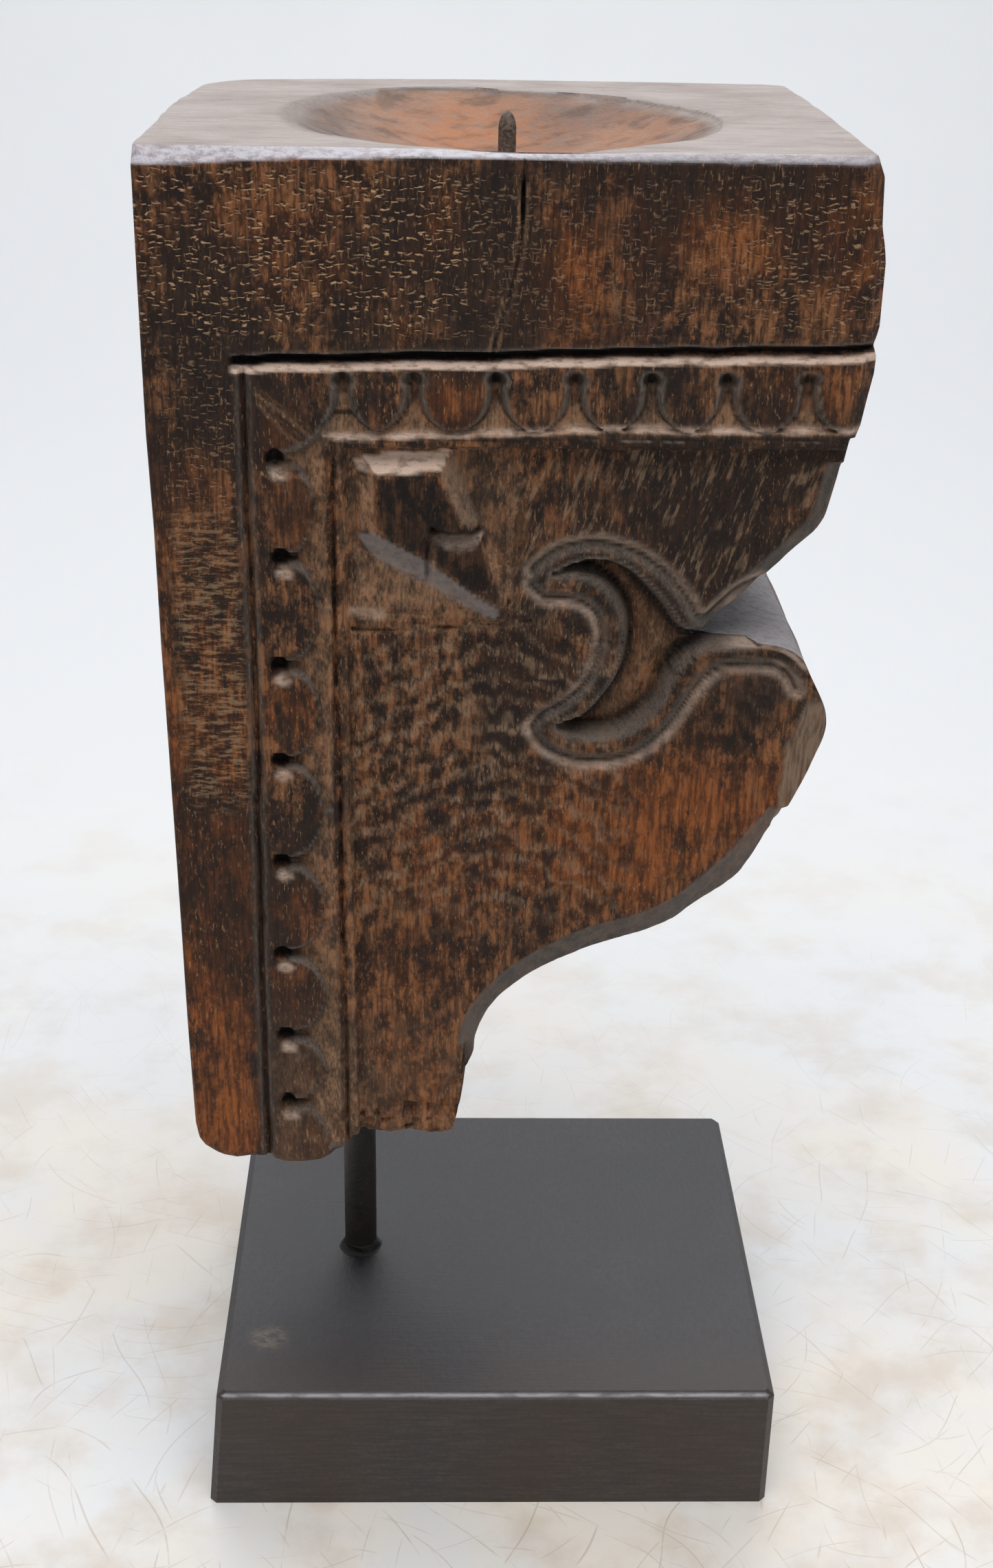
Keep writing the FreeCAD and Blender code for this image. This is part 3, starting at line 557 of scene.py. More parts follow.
    # The gouge across the boss and the step beside it.
    lower_lip = smooth_line([(50.2, 66), (51.4, 67.8), (53.6, 69.2), (56.6, 69.6), (59, 68.4), (60.2, 66.4)], 0.5)
    upper_lip = smooth_line([(59.4, 65), (57.6, 66), (55, 66.3), (52.4, 65.9), (50.4, 65.2)], 0.6)
    cut = facet_of(*lower_lip, *upper_lip)
    shallow = 1 - 0.75 * np.clip((tp - 65.4) / 4.2, 0, 1)
    depth = np.where(cut > -0.15, np.maximum(depth, 0.4 + 2.1 * step(cut, -0.2, 0.6) * shallow), depth)
    # Painted highlight on the gouge's lower lip, painted shadow under its upper lip, and painted shade down the
    # groove beside it.
    wear_and_highlight += step(cut, -0.2, 0.3) * step(tp, 66.3, 67.2)
    darken(0.8 * step(cut, -0.5, 0.2) * step(tp, 66.3, 65.7))
    depth += 0.9 * step(np.abs(sp - 49.9), 0.7, 0.1) * step(tp, 66.5, 68) * step(tp, 77, 75) * in_panel
    darken(0.8 * step(np.abs(sp - 49.5), 0.7, 0.2) * step(tp, 65, 68) * step(tp, 77, 74) * in_panel)
    dust += 0.9 * step(np.abs(sp - 50.7), 0.9, 0.5) * step(tp, 66, 69) * step(tp, 78, 75.5) * in_panel
    # Left over from setting out, each a depth, a width and its places: level, sloping and plumb lines.
    for deep, wide, *line in (
            (0.5, 0.6, (35, 83.2), (48, 82.9), (60.5, 82.6)), (0.9, 0.6, (35.5, 86), (50, 85.9), (69, 84.4)),
            (0.6, 0.6, (60.2, 69), (62.6, 74.2), (65, 80.4)), (0.55, 0.5, (65.2, 50.5), (65, 70), (64.6, 96)),
            (0.5, 0.7, (56.2, 109), (57, 104), (57.4, 99.6)), (0.4, 0.7, (57.4, 99.8), (60.2, 103.5)),
            (0.5, 0.7, (37.5, 70.5), (44, 74.2), (50, 76.2), (58, 80.8))):
        scored = gap_to(*line)
        depth += vee(scored, deep, wide) * in_panel
        dust += 0.42 * step(scored, wide + 0.5, wide * 0.3) * in_panel
    chips = step(gap_to((35.6, 82.2), (41, 82.8)), 1.4, 0.4)
    dust += 0.75 * chips
    wear_and_highlight += 0.35 * chips
    dust += 0.34 * in_panel * step(sp, 70, 60) * step(tp, 86, 80) * (flat_top < -0.5) * (shine < 0.5)

    # The scroll: an outer line round the curling leaf and the lobe, a crescent, and a deep hollow.
    crest = smooth_line([(69.2, 74.2), (72, 71.5), (75, 69.7), (80, 68.7), (85, 69.4), (90, 71.5), (95, 75.5),
                         (98.4, 79.6), (100.6, 83.3), (102.4, 83.8), (104.5, 81.6), (108, 78.2), (112, 76.4)])
    lobe_line = smooth_line([(69.6, 106.2), (71, 109), (74, 111.5), (78, 113), (83, 113.3), (88, 112.5), (92, 110.3),
                             (96, 106.2), (99, 101.4), (101, 98), (103, 95.5), (106, 93.6), (110, 93), (115, 93.3),
                             (118.6, 95.2), (120.4, 98.4)])
    crescent_left = smooth_line([(69, 77), (71.6, 79.6), (75, 79.7), (79, 80.7), (81.8, 83.6), (82.5, 88), (82, 92),
                                 (80, 97), (76, 101), (72, 103.5), (69.6, 106.2)])
    crescent_right = [(87.1, 89), (87, 84.4), (85, 79.8), (82, 76.6), (78, 75.0), (73, 75.0)]
    hollow_ring = np.concatenate([
        smooth_line([(73, 75.0), (77, 73.1), (80, 72.3), (84, 72.6), (88, 74.6), (92, 78.4), (95, 82), (97.4, 85.4),
                     (100.4, 86.9), (104, 86.6)]),
        [(112, 85.5), (112, 89.2)],
        smooth_line([(106, 89.4), (103, 89.6), (100.2, 91), (97.4, 94), (95.6, 97), (94, 101), (92, 104), (89, 106.6),
                     (85, 108.2), (81, 108.3), (77, 107.8), (74.4, 106.2), (77, 104.9), (79.6, 103.8), (82.4, 100.8),
                     (85, 97), (86.5, 93)] + crescent_right)])
    inside = inward(sp, tp, hollow_ring)
    for line, deep, wide, away in ((crest, 1.5, 1.7, 3.8), (lobe_line, 1.4, 1.7, 5), (crescent_left, 1.4, 1.5, 4.7)):
        scored = to_line(sp, tp, line)
        depth = np.maximum(depth, (2.5 + vee(scored, deep, wide)) * (scored < wide) * in_panel)
        outer_side = step(-inside, away - 0.5, away + 0.5)
        greyed = (0.95 - 0.35 * outer_side) * step(scored, wide + 0.5, wide * 0.6)
        edge_grey = np.maximum(edge_grey, greyed * in_panel)
        # Each line: painted shade along its floor and its inner side, and a pale band on its outer side that is wear
        # and painted highlight.
        darken(0.55 * step(scored, 0.7, 0.1) * in_panel)
        inner_side = (1 - outer_side) * (inside < -0.6) * in_panel
        darken(0.40 * step(np.abs(scored - wide - 0.8), 0.8, 0.2) * inner_side)
        rubbed = np.exp(-((scored - 0.62 * wide) / 0.75) ** 2) * np.clip(0.75 + 1.5 * ragged, 0, 1)
        wear_and_highlight += 0.46 * rubbed * outer_side * in_panel
        dust += 0.45 * step(scored, wide + 0.9, wide * 0.5) * outer_side * in_panel
    bowl = 5.6 * step(inside, -0.35, 1.25) ** 0.8 - 1.6 * step(inside, 1.6, 6.5)
    depth += bowl * in_panel
    edge_grey = np.maximum(edge_grey, step(inside, -1.5, -0.5) * step(inside, 1.6, 0.6) * in_panel)
    # Painted shadow just inside the rim of the hollow.
    darken(0.6 * step(inside, 0.3, 1.1) * step(inside, 2.6, 1.3) * in_panel)
    warm_hollow = step(inside, 1.6, 3.2)
    lower_wall = step(inside, -0.2, 0.5) * step(inside, 2.2, 1.2) * step(sp + 2.2 * (tp - 106), 80, 88) * (sp < 96)
    dust += 0.62 * warm_hollow + 0.6 * lower_wall
    lobe_top = gap_to(*smooth_line([(97, 93.4), (99.6, 91), (104, 89.5), (112, 89.1), (118, 90.4), (122, 94)]))
    # Painted highlight on the lobe's upper edge, kept with the wear, and painted shade just below it.
    wear_and_highlight += 0.50 * step(lobe_top, 0.75, 0.2) * step(sp, 104, 110) * in_panel
    darken(0.50 * step(np.abs(lobe_top - 1.8), 1.0, 0.3) * (tp > 89.5) * in_panel)
    darken(0.45 * np.exp(-((sp - 109) / 9.5) ** 2 - ((tp - 104) / 8) ** 4) * (tp > 94))

    # Lower rim: a bevelled margin outside one long curve, and the facet down the lobe's right side.
    rim = smooth_line([(56.6, 178), (57.5, 172.5), (60, 168), (65, 162), (70, 158), (75, 155), (80, 152.2),
                       (85, 150.5), (90, 149), (95, 147), (100, 144), (105, 139.4), (110, 134.2), (114, 129),
                       (117.4, 124.5)], 1.0)
    rim_gap = to_line(sp, tp, rim)
    rim_side = within(sp, tp, np.concatenate([rim, [(150, 110), (150, 230), (57, 230)]]))
    beyond = np.where(rim_side & (tp > 124), rim_gap, -rim_gap) + 1.1
    depth += step(beyond, -0.4, 0.5) * 0.5 + np.clip(beyond, 0, 8) * 0.62 * (tp > 120)
    margin = step(beyond, -0.3, 0.6) * (tp > 120)
    facet = np.array([(122.6, 99.5), (121.5, 103), (120, 107), (119, 110), (118.5, 115), (118, 120), (118.2, 126)])
    facet_gap = to_line(sp, tp, facet)
    facet_on = (sp > np.interp(tp, facet[:, 1], facet[:, 0])) & (tp > 99) & (tp < 129)
    depth += np.where(facet_on, np.clip(facet_gap * 0.62, 0, 5.6), 0) * step(tp, 98, 103)
    facet_wood = facet_on * step(facet_gap, 0.1, 0.8) * step(tp, 99, 103)

    # Drying crack in the top block, wider and deeper at the top.
    crack = smooth_line([(66.9, -2), (66.6, 6), (66.5, 12), (65.6, 18), (64.2, 24), (62.3, 30), (61.7, 34),
                         (62.2, 44), (62, 50)], 1.0)
    crack_gap = to_line(s, t, crack)
    depth += np.interp(t, [-2, 1, 3, 4, 9, 12, 34, 50], [0.4, 0.5, 0.7, 2.0, 1.6, 0.5, 0.35, 0.1]) * step(
        crack_gap, np.interp(t, [0, 3, 12, 15, 50], [0.34, 0.40, 0.36, 0.34, 0.34]), 0.05)
    dust += 0.55 * step(np.abs(crack_gap - 0.7), 0.4, 0.1) * step(t, 3, 5) * step(t, 40, 30)
    for scratch, deep in ((((82.6, 20), (83.1, 23.5), (83.6, 27)), 0.5), (((76.3, 27.8), (76.7, 28.3)), 0.9),
                          (((79.4, 27.8), (79.7, 28.3)), 0.9)):
        scratched = to_line(s, t, np.array(scratch))
        depth += vee(scratched, deep, 0.6)
        dust += 0.5 * step(scratched, 0.9, 0.3)

    # Worn bevel along the top front edge, bevelled upper right edge, chamfered lower edge of the wing.
    bevel = np.interp(s, [0, 8, 22, 43, 67, 75, 131], [3.3, 3.0, 2.1, 1.5, 1.2, 1.5, 1.5]) + 0.12 * ragged
    bevelled = np.clip(1 - d / bevel, 0, 1)
    depth = np.maximum(depth, 2.5 * bevelled ** 1.1)
    from_right = np.interp(d, right_side[:, 1][:12], right_side[:, 0][:12]) - u
    side_bevel = np.where(d < 56, np.clip(1 - from_right / 2.6, 0, 1) * 2.2, 0)
    depth = np.maximum(depth, side_bevel + np.where(d > 50, 2.5, 0) * (side_bevel > 0))
    wing = np.array([(126.6, 56), (124.6, 66.1), (122.7, 68.8), (114.3, 77.1), (105.5, 85.4), (101.5, 89.6)])
    wing_gap = to_line(u, d, wing)
    wing_on = (d > 55) & (d < 91) & (u > 99)
    depth += np.where(wing_on, np.clip(1 - wing_gap / 3.2, 0, 1) * 1.9, 0)
    margin = np.maximum(margin, np.where(wing_on, step(wing_gap, 3.4, 2.4) * 0.8, 0))

    # Hand-worked unevenness: shallow hewing on the plain wood, short chisel marks on the panel.
    plain = 1 - panel
    depth += plain * (0.10 * lumps_of(s, t, 7, 21) + 0.05 * lumps_of(s, t * 0.6, 2.2, 22))
    slant = np.hypot(s - 60, t - 92)
    waves = 0.10 * np.sin(slant * 1.9 + 2.6 * lumps_of(s, t, 5, 23)) * step(t, 84, 90) * step(t, 150, 135)
    pecks = 0.13 * lumps_of(s * 1.25 + t * 0.28, t * 0.42, 0.8, 24)
    depth += panel * (1.3 * waves * step(s, 62, 50) + pecks + 0.12 * lumps_of(s, t, 5, 25)) * (inside < 0)
    dust += 0.46 * step(t, 160, 192) * (s > 17) * np.clip(0.7 + 1.6 * ragged, 0, 1)
    # Frayed foot of the panel and rounded end grain of the bands.
    foot = np.interp(u, underside[:, 0], underside[:, 1])
    depth += np.clip(1 - (foot - d) / 1.5, 0, 1) * 0.9
    depth += np.where((s > 34) & (t > 194), step(lumps_of(s, t, 1.6, 31), 0.1, 0.5), 0)
    depth += np.clip(1 - (u - np.interp(d, left_down, left_in)) / 0.9, 0, 1) ** 2 * 0.7

    # Where the wood shows orange-red through the dark: an amount, a middle and how far it reaches each way.
    patch = lambda cu, cd, ru, rd: np.exp(-((s - cu) / ru) ** 2 - ((t - cd) / rd) ** 2)
    red = 0.55 * step(s, 15.5, 13) * step(t, 88, 125) + 0.30 * step(s, 15.5, 13) * step(t, 40, 60) + 0.5 * warm_hollow
    for amount, *where in (
            (0.75, 122, 12, 9, 11), (0.5, 100, 12, 14, 9), (0.65, 76, 26, 8, 6), (0.7, 55, 42, 6, 5),
            (0.5, 52, 12, 5, 7), (0.45, 38, 20, 4, 4), (0.5, 76, 14, 9, 8), (0.55, 120, 42, 7, 6),
            (0.6, 25, 62, 4, 8), (0.6, 23, 47, 3, 4), (0.5, 23, 104, 6, 8), (0.5, 23, 146, 6, 8),
            (0.55, 23, 166, 6, 8), (0.6, 23, 186, 6, 12), (0.55, 23, 204, 8, 8), (0.95, 103, 124, 22, 12),
            (0.55, 80, 136, 18, 12), (0.35, 48, 150, 10, 26), (0.5, 48, 192, 10, 16), (0.4, 92, 140, 14, 8),
            (0.25, 18, 10, 22, 12)):
        red += amount * patch(*where)
    # Where each kind of mark lies, 0 to 1.
    calm = in_panel * (inside < -1) * (1 - margin) * (outside > 3)
    calm_band = step(s, 15.5, 14) * step(s, 1.5, 4)
    rowed = 1.30 * (t - 0.55 * np.sqrt((s - 62) ** 2 + 40))
    rowed = np.sin(rowed + 2.2 * lumps_of(s, t, 6, 26) + 2.0 * lumps_of(s, t, 2.6, 27))
    red_lobe = patch(103, 124, 22, 12)
    darken(0.34 * calm * step(rowed, 0.0, -0.6) * step(t, 82, 88) * step(t, 145, 128) * step(s, 92, 84)
           * (1 - red_lobe))
    combed = (calm * step(rowed, 0.05, 0.6) * (0.55 + 0.45 * step(lumps_of(s, t, 4, 28), -0.5, 0.3))
              * step(t, 82, 88) * step(t, 158, 138) * (1 - 0.8 * red_lobe) * (1 - 0.8 * step(s, 86, 92)))
    leaning = calm * step(s, 60, 68) * step(t, 50, 51.5) * step(t, 88, 80) * (s + 0.6 * (t - 50) > 62)
    nicked = step(t, 31.5, 29) * (0.25 + 0.75 * step(s, 64, 52) + 0.35 * step(s, 100, 112)) * step(d, 2.5, 5)
    # Painted shade filling the saw groove, below its steep upper wall.
    saw_groove_shade = 0.98 * step(below + 0.5 * ragged, -0.95, -0.6) * along * step(
        below - np.interp(s, [15, 60, 128], [0, -0.2, -0.45]), 1.25, 0.8)
    # Painted shade inside the crack, darkest where it opens widest.
    crack_shade = step(crack_gap, 0.42, 0.12) * np.interp(t, [1.2, 3, 4, 9, 11, 30], [0.2, 0.3, 1, 0.9, 0.45, 0.2])
    # Handed back: the wear mark holds worn wood and painted highlights on up-facing lips, the black mark mostly
    # painted shade, the bevel mark a painted highlight, and the grey mark grey margins with painted sheen.
    return {
        "depth": np.maximum(depth, 0), "dust": np.clip(dust, 0, 1), "wear_and_highlight": np.clip(wear_and_highlight, 0, 1.2),
        "red": np.clip(red, 0, 1), "grey": np.clip(margin * 0.9 + 0.75 * shine, 0, 1), "bare": facet_wood,
        "stria": combed, "slant": leaning,
        "nick": np.clip(nicked + 0.35 * calm_band * step(t, 30, 34) * step(t, 90, 60), 0, 1),
        "bevel": np.maximum(step(bevelled, 0.02, 0.20) * (1 - 0.45 * step(s, 60, 96)), 0.15 * shine),
        "edge": np.clip(edge_grey, 0, 1), "rib": calm_band * step(t, 58, 70) * step(t, 128, 116),
        "black": np.clip(crack_shade + saw_groove_shade + dark, 0, 1)}


cheek = carving(across, down)
front = np.stack([left_edge + across, front_plane + cheek["depth"], top_plane - down], -1)

# The back cheek carries the same carving, seen through the block, on wood that falls away at its sides.
coarse = (slice(None, None, 2), slice(None, None, 2))
back = np.stack([front[..., 0], back_plane - (front[..., 1] - front_plane), front[..., 2]], -1)[coarse].copy()
width_in = np.clip((back[..., 0] - left_edge) / 40, 0, 1)
back[..., 0] += 4.0 * (1 - width_in) ** 2
back[..., 1] -= np.interp(back[..., 0], [-64.5, -62.5, -60, -55, -35, -10, 30, 56, 60, 64.5],
                          [17, 13.5, 10, 6.2, 2.6, 0.2, 0.2, 1.2, 2.6, 6.0])
out = (back[..., 0] - 40) / 24
back[..., 0] -= np.clip(out, 0, 1.2) * np.where(back[..., 2] > top_plane - 66, 3.2, 1.0)

# Sawn walls between the two cheeks: each station of the outline is carried straight back in steps,
# easing towards the narrower back, with shallow hewing marks pressed in.
rings = 34
n2, m2 = back.shape[:2]
path = np.concatenate([np.stack([np.arange(n2), np.zeros(n2, int)], -1),
                       np.stack([np.full(m2 - 2, n2 - 1), np.arange(1, m2 - 1)], -1),
                       np.stack([np.arange(n2)[::-1], np.full(n2, m2 - 1)], -1)])
near_edge = front[path[:, 0] * 2, path[:, 1] * 2]
far_edge = back[path[:, 0], path[:, 1]]
t = np.linspace(0, 1, rings + 1)
t = np.interp(t, [0, 0.06, 0.12, 0.88, 0.94, 1], [0, 0.010, 0.035, 0.955, 0.985, 1])[1:-1, None, None]
eased = np.concatenate([t ** 3, t, t], -1)
walls = near_edge[None] * (1 - eased) + far_edge[None] * eased
facing = np.gradient(near_edge, axis=0)[:, [2, 0]] * (1, -1)
facing /= np.maximum(np.hypot(*facing.T), 1e-6)[:, None]
place_along = np.concatenate([[0], np.cumsum(np.hypot(*np.diff(near_edge[:, [0, 2]], axis=0).T))])
hewn = (0.28 * lumps_of(place_along[None, :], walls[..., 1], 9, 41)
        + 0.14 * lumps_of(place_along[None, :], walls[..., 1], 3.2, 42))
hewn = np.minimum(hewn - 0.30, 0) * np.minimum(1, 6 * t[..., 0] * (1 - t[..., 0]))
walls[..., 0] += hewn * facing[:, 0]
walls[..., 2] += hewn * facing[:, 1]

# Top face and dish: rings from the top outline in to the rim of the dish, then down its bowl to the
# hole for the pricket. The rim is nearly a circle, worn lower and nearer at the back right.
spike_low, spike_high = (np.array(corner) * 1000 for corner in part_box("candle_pricket"))
dish_x, dish_y = (spike_low[0] + spike_high[0]) / 2, (spike_low[1] + spike_high[1]) / 2
outer = np.concatenate([front[0, ::2], walls[:, -1], back[0, ::-1], walls[::-1, 0]])
turn = np.arctan2(outer[:, 1] - dish_y, outer[:, 0] - dish_x)
spread = np.degrees(turn)
rim_reach = np.interp(spread, [-180, -150, -120, -90, -60, -30, 0, 25, 50, 75, 90, 99, 120, 150, 180],
                      [43, 43, 43, 42.8, 42.6, 42.4, 41, 38.8, 37.2, 36.8, 37.6, 40.4, 43, 43, 43])
rim_reach += 0.25 * np.sin(3 * turn + 1) + 0.15 * np.sin(7 * turn)
gap_out = np.hypot(outer[:, 0] - dish_x, outer[:, 1] - dish_y)
rim_reach = np.minimum(rim_reach, gap_out - 0.35)
worn_rim = np.interp(spread, [-180, -120, -60, -20, 30, 90, 95, 130, 180],
                     [3.6, 1.6, 0.8, 1.2, 1.2, 1.0, 2.0, 3.2, 3.6])
share_out = np.array([0.0, 0.16, 0.36, 0.58, 0.78, 0.92, 1.0])
first_step = np.minimum(0.4, 0.12 * (gap_out - rim_reach))
flat = gap_out - first_step + (rim_reach - gap_out + first_step) * share_out[:, None]
lip_reach = rim_reach - np.array([0.3, 0.65, 1.0])[:, None] * worn_rim
bowl_share = np.linspace(1, 0, 17)[1:-1]
bowl_reach = 2.2 + (lip_reach[-1] - 2.2) * bowl_share[:, None]
hole = (spike_high[0] - spike_low[0]) / 2 - 0.2
reach = np.concatenate([flat, lip_reach, bowl_reach, np.full((1, len(outer)), hole + 0.02)])
bowl_depth = 10.0
deep = bowl_depth * (1 - (np.minimum(reach / rim_reach, 1)) ** 2)
lip_fall = np.interp((rim_reach - reach) / worn_rim, [0, 1, 4], [0.0, 0.35, 0.0])
deep += lip_fall * (reach < rim_reach)
pos_x, pos_y = dish_x + reach * np.cos(turn), dish_y + reach * np.sin(turn)
front_dip = 0.75 * np.exp(-((pos_x - 4) / 15) ** 2) * step(pos_y, -46, -56)
uneven_top = 0.12 + 0.10 * lumps_of(pos_x, pos_y, 11, 51) + 0.05 * lumps_of(pos_x, pos_y, 4, 52)
height = top_plane - deep - (uneven_top + front_dip) * np.concatenate([[[0.5]], np.ones((len(reach) - 1, 1))])
height -= np.where(reach < rim_reach, 0.20 * lumps_of(pos_x, pos_y, 6, 53), 0)
top_rings = np.stack([pos_x, pos_y, height], -1)
hole_floor = spike_low[2] - 0.4
drop = np.stack([dish_x + hole * np.cos(turn), dish_y + hole * np.sin(turn), np.full(len(turn), hole_floor)], -1)
top_rings = np.concatenate([top_rings, drop[None]])
front[0, :, 2] -= 0.75 * np.exp(-((front[0, :, 0] - 4) / 15) ** 2)

# All of it as one closed skin.
count_front, count_back = rows * columns, n2 * m2
number_front = np.arange(count_front).reshape(rows, columns)
number_back = count_front + np.arange(count_back).reshape(n2, m2)
number_wall = count_front + count_back + np.arange((rings - 1) * len(path)).reshape(rings - 1, len(path))
number_top = number_wall[-1, -1] + 1 + np.arange(top_rings.shape[0] * top_rings.shape[1]).reshape(top_rings.shape[:2])
last_point = number_top[-1, -1] + 1
points = np.concatenate([front.reshape(-1, 3), back.reshape(-1, 3), walls.reshape(-1, 3), top_rings.reshape(-1, 3),
                         [[dish_x, dish_y, hole_floor]]])


def quads_of(grid):
    """The four-sided faces of a grid of point numbers."""
    return np.stack([grid[:-1, :-1], grid[1:, :-1], grid[1:, 1:], grid[:-1, 1:]], -1).reshape(-1, 4)


def stitch(fine_run, coarse_run):
    """Three triangles for each pair of short steps on one side and one long step on the other."""
    a, m, b = fine_run[:-2:2], fine_run[1:-1:2], fine_run[2::2]
    c, e = coarse_run[:-1], coarse_run[1:]
    return np.concatenate([np.stack([a, c, m], -1), np.stack([m, c, e], -1), np.stack([m, e, b], -1)])


fine_run = np.concatenate([number_front[:, 0], number_front[-1, 1:-1], number_front[::-1, -1]])
wall_grid = np.concatenate([number_wall, number_back[path[:, 0], path[:, 1]][None]])
loop = np.concatenate([number_front[0, ::2], number_wall[:, -1], number_back[0, ::-1], number_wall[::-1, 0]])
top_grid = np.concatenate([number_top, number_top[:, :1]], 1)
rest_of_loop = np.stack([np.append(run[m2 - 1:], run[:1]) for run in (loop, number_top[0])])
quads = np.concatenate([quads_of(number_front), quads_of(number_back)[:, ::-1], quads_of(wall_grid),
                        quads_of(rest_of_loop)[:, ::-1], quads_of(top_grid)[:, ::-1]])
fan = np.stack([number_top[-1], np.roll(number_top[-1], -1), np.full(number_top.shape[1], last_point)], -1)
triangles = np.concatenate([stitch(fine_run, wall_grid[0]),
                            stitch(number_front[0], number_top[0, :m2])[:, ::-1], fan])
bracket = new_piece("carved_wood", points / 1000, quads, triangles)


def paint_on(piece, name, values):
    """Stores one number for each point of the piece, for its material to read."""
    stored = piece.data.attributes.new(name, "FLOAT", "POINT")
    stored.data.foreach_set("value", np.asarray(values, np.float32))


def everywhere(on_cheek=0.0, on_walls=0.0, on_top=0.0, at_end=0.0):
    """One number for each point: the cheek's for the front and the back, then walls, top and last point."""
    on_cheek = np.broadcast_to(on_cheek, across.shape)
    on_walls, on_top = np.broadcast_to(on_walls, walls.shape[:2]), np.broadcast_to(on_top, top_rings.shape[:2])
    return np.concatenate([part.ravel() for part in (on_cheek, on_cheek[coarse], on_walls, on_top)] + [[at_end]])


wall_red = np.clip(0.30 + 0.5 * lumps_of(place_along[None, :], walls[..., 1], 26, 61), 0, 1)
top_x, top_y = top_rings[..., 0], top_rings[..., 1]
top_red = np.clip(np.exp(-((top_x + 9) / 19) ** 2 - ((top_y - 8) / 20) ** 2)
                  + 0.55 * np.exp(-((top_x - 24) / 13) ** 2 - ((top_y + 4) / 16) ** 2), 0, 1)
from_rim = (rim_reach - reach) * (1 + 0.35 * lumps_of(pos_x, pos_y, 5, 71))
pale_edge = np.interp(spread, [-180, -120, -60, 0, 40, 90, 140, 180], [6.5, 5.0, 4.0, 4.0, 2.0, 1.2, 3.0, 6.5])
in_dish = np.concatenate([step(from_rim, 0.3, pale_edge), np.ones((1, len(outer)))])
off_rim = step(np.abs(rim_reach - reach - 0.5), 0.8, 0.2) * step(np.abs(spread), 70, 120)
off_rim = np.concatenate([off_rim, np.zeros((1, len(outer)))])
facing_up = step(facing[:, 1], 0.2, 0.7)
# Painted sheen on the walls: strong where they face up, weaker where they face down; it goes into the grey mark and,
# on up-facing walls, the bevel mark.
wall_painted_sheen = 0.95 * facing_up + 0.35 * step(-facing[:, 1], 0.2, 0.8)
paint_on(bracket, "rim", everywhere(on_top=off_rim))
paint_on(bracket, "dish", everywhere(on_top=in_dish, at_end=1.0))
paint_on(bracket, "cheek", everywhere(step(down, 0.2, 0.8)))
paint_on(bracket, "red", everywhere(cheek["red"], wall_red, top_red * in_dish))
paint_on(bracket, "grey", everywhere(cheek["grey"], wall_painted_sheen))
paint_on(bracket, "bevel", everywhere(cheek["bevel"], wall_painted_sheen * 0.45 * facing_up))
for name in ("dust", "wear_and_highlight", "bare", "stria", "slant", "nick", "black", "edge", "rib"):
    paint_on(bracket, name, everywhere(cheek[name]))
bracket.data.set_sharp_from_angle(angle=np.radians(40))

wood, tree, shader, here = new_material("old_carved_hardwood")


def mark(name):
    """One of the numbers painted on the bracket."""
    return node("Attribute", attribute_name=name).outputs["Fac"]


def distance_from(x, y, squash):
    """Distance in metres across the top from a place, y counted squash times as far."""
    moved = node("Mapping", {0: here, "Location": (-x, -y * squash, 0), "Scale": (1, squash, 0)}).outputs[0]
    return node("VectorMath", {0: moved}, operation="LENGTH").outputs["Value"]


place = node("SeparateXYZ", {0: here}).outputs
up = node("SeparateXYZ", {0: node("NewGeometry").outputs["Normal"]}).outputs[2]
fibre = noise(1100, (1, 1, 0.10), detail=5, roughness=0.65)
fleck = noise(2300, (1, 1, 0.28), detail=3, roughness=0.6)
mottle = noise(330, (1, 1, 0.62), detail=7, roughness=0.70)
grime = noise(85, (1, 1, 0.62), detail=7, roughness=0.65)
cloud = noise(30, (1, 1, 0.7), detail=6, roughness=0.6)
# Ground colour: near-black brown, streaked along the grain, reddened in patches, with black smoke stains.
redness = sum_of("ADD", times(mark("red"), ramp(grime, 0.28, 0.60, 0.45, 1.15)), ramp(grime, 0.52, 0.70, 0.0, 0.35))
redness = sum_of("MINIMUM", times(redness, ramp(mottle, 0.32, 0.56, 0.35, 1.0)), 0.88)
orange = layers((0.33, 0.098, 0.022), (ramp(fibre, 0.40, 0.60), (0.13, 0.038, 0.0125)))
soot = noise(150, (1, 1, 0.55), detail=7, roughness=0.7)
smoke = sum_of("MAXIMUM", times(ramp(cloud, 0.48, 0.58), ramp(mottle, 0.34, 0.56, 0.30, 0.90)),
               times(ramp(soot, 0.52, 0.62), 0.80))
# Pale dust and wax: in the pores, in the chisel marks of the panel, and in the cuts.
pores = times(ramp(fleck, 0.58, 0.70), ramp(grime, 0.36, 0.60, 0.15, 0.8))
leaning = noise(1250, (1.0, 1.0, 0.14), detail=3, turn=(0, -0.30, 0))
rows_up = noise(300, (0.5, 1.0, 0.75), detail=3, turn=(0, 0.25, 0))
slanted = times(times(ramp(leaning, 0.50, 0.60), ramp(rows_up, 0.38, 0.55)), mark("slant"))
splinter = noise(1900, (1.0, 1.0, 0.22), detail=2)
combed = times(mark("stria"), ramp(splinter, 0.40, 0.56, 0.15, 1.0))
marked = times(sum_of("MAXIMUM", times(slanted, 0.72), combed), ramp(mottle, 0.36, 0.58, 0.35, 1.0))
dusty = times(times(mark("dust"), ramp(mottle, 0.36, 0.60, 0.35, 1.0)), ramp(fleck, 0.36, 0.58, 0.40, 1.0))
fresh = layers((0.13, 0.08, 0.05), (ramp(fibre, 0.38, 0.60), (0.30, 0.21, 0.145)))
ribs = noise(1500, (0.24, 1, 1), detail=4, roughness=0.6)
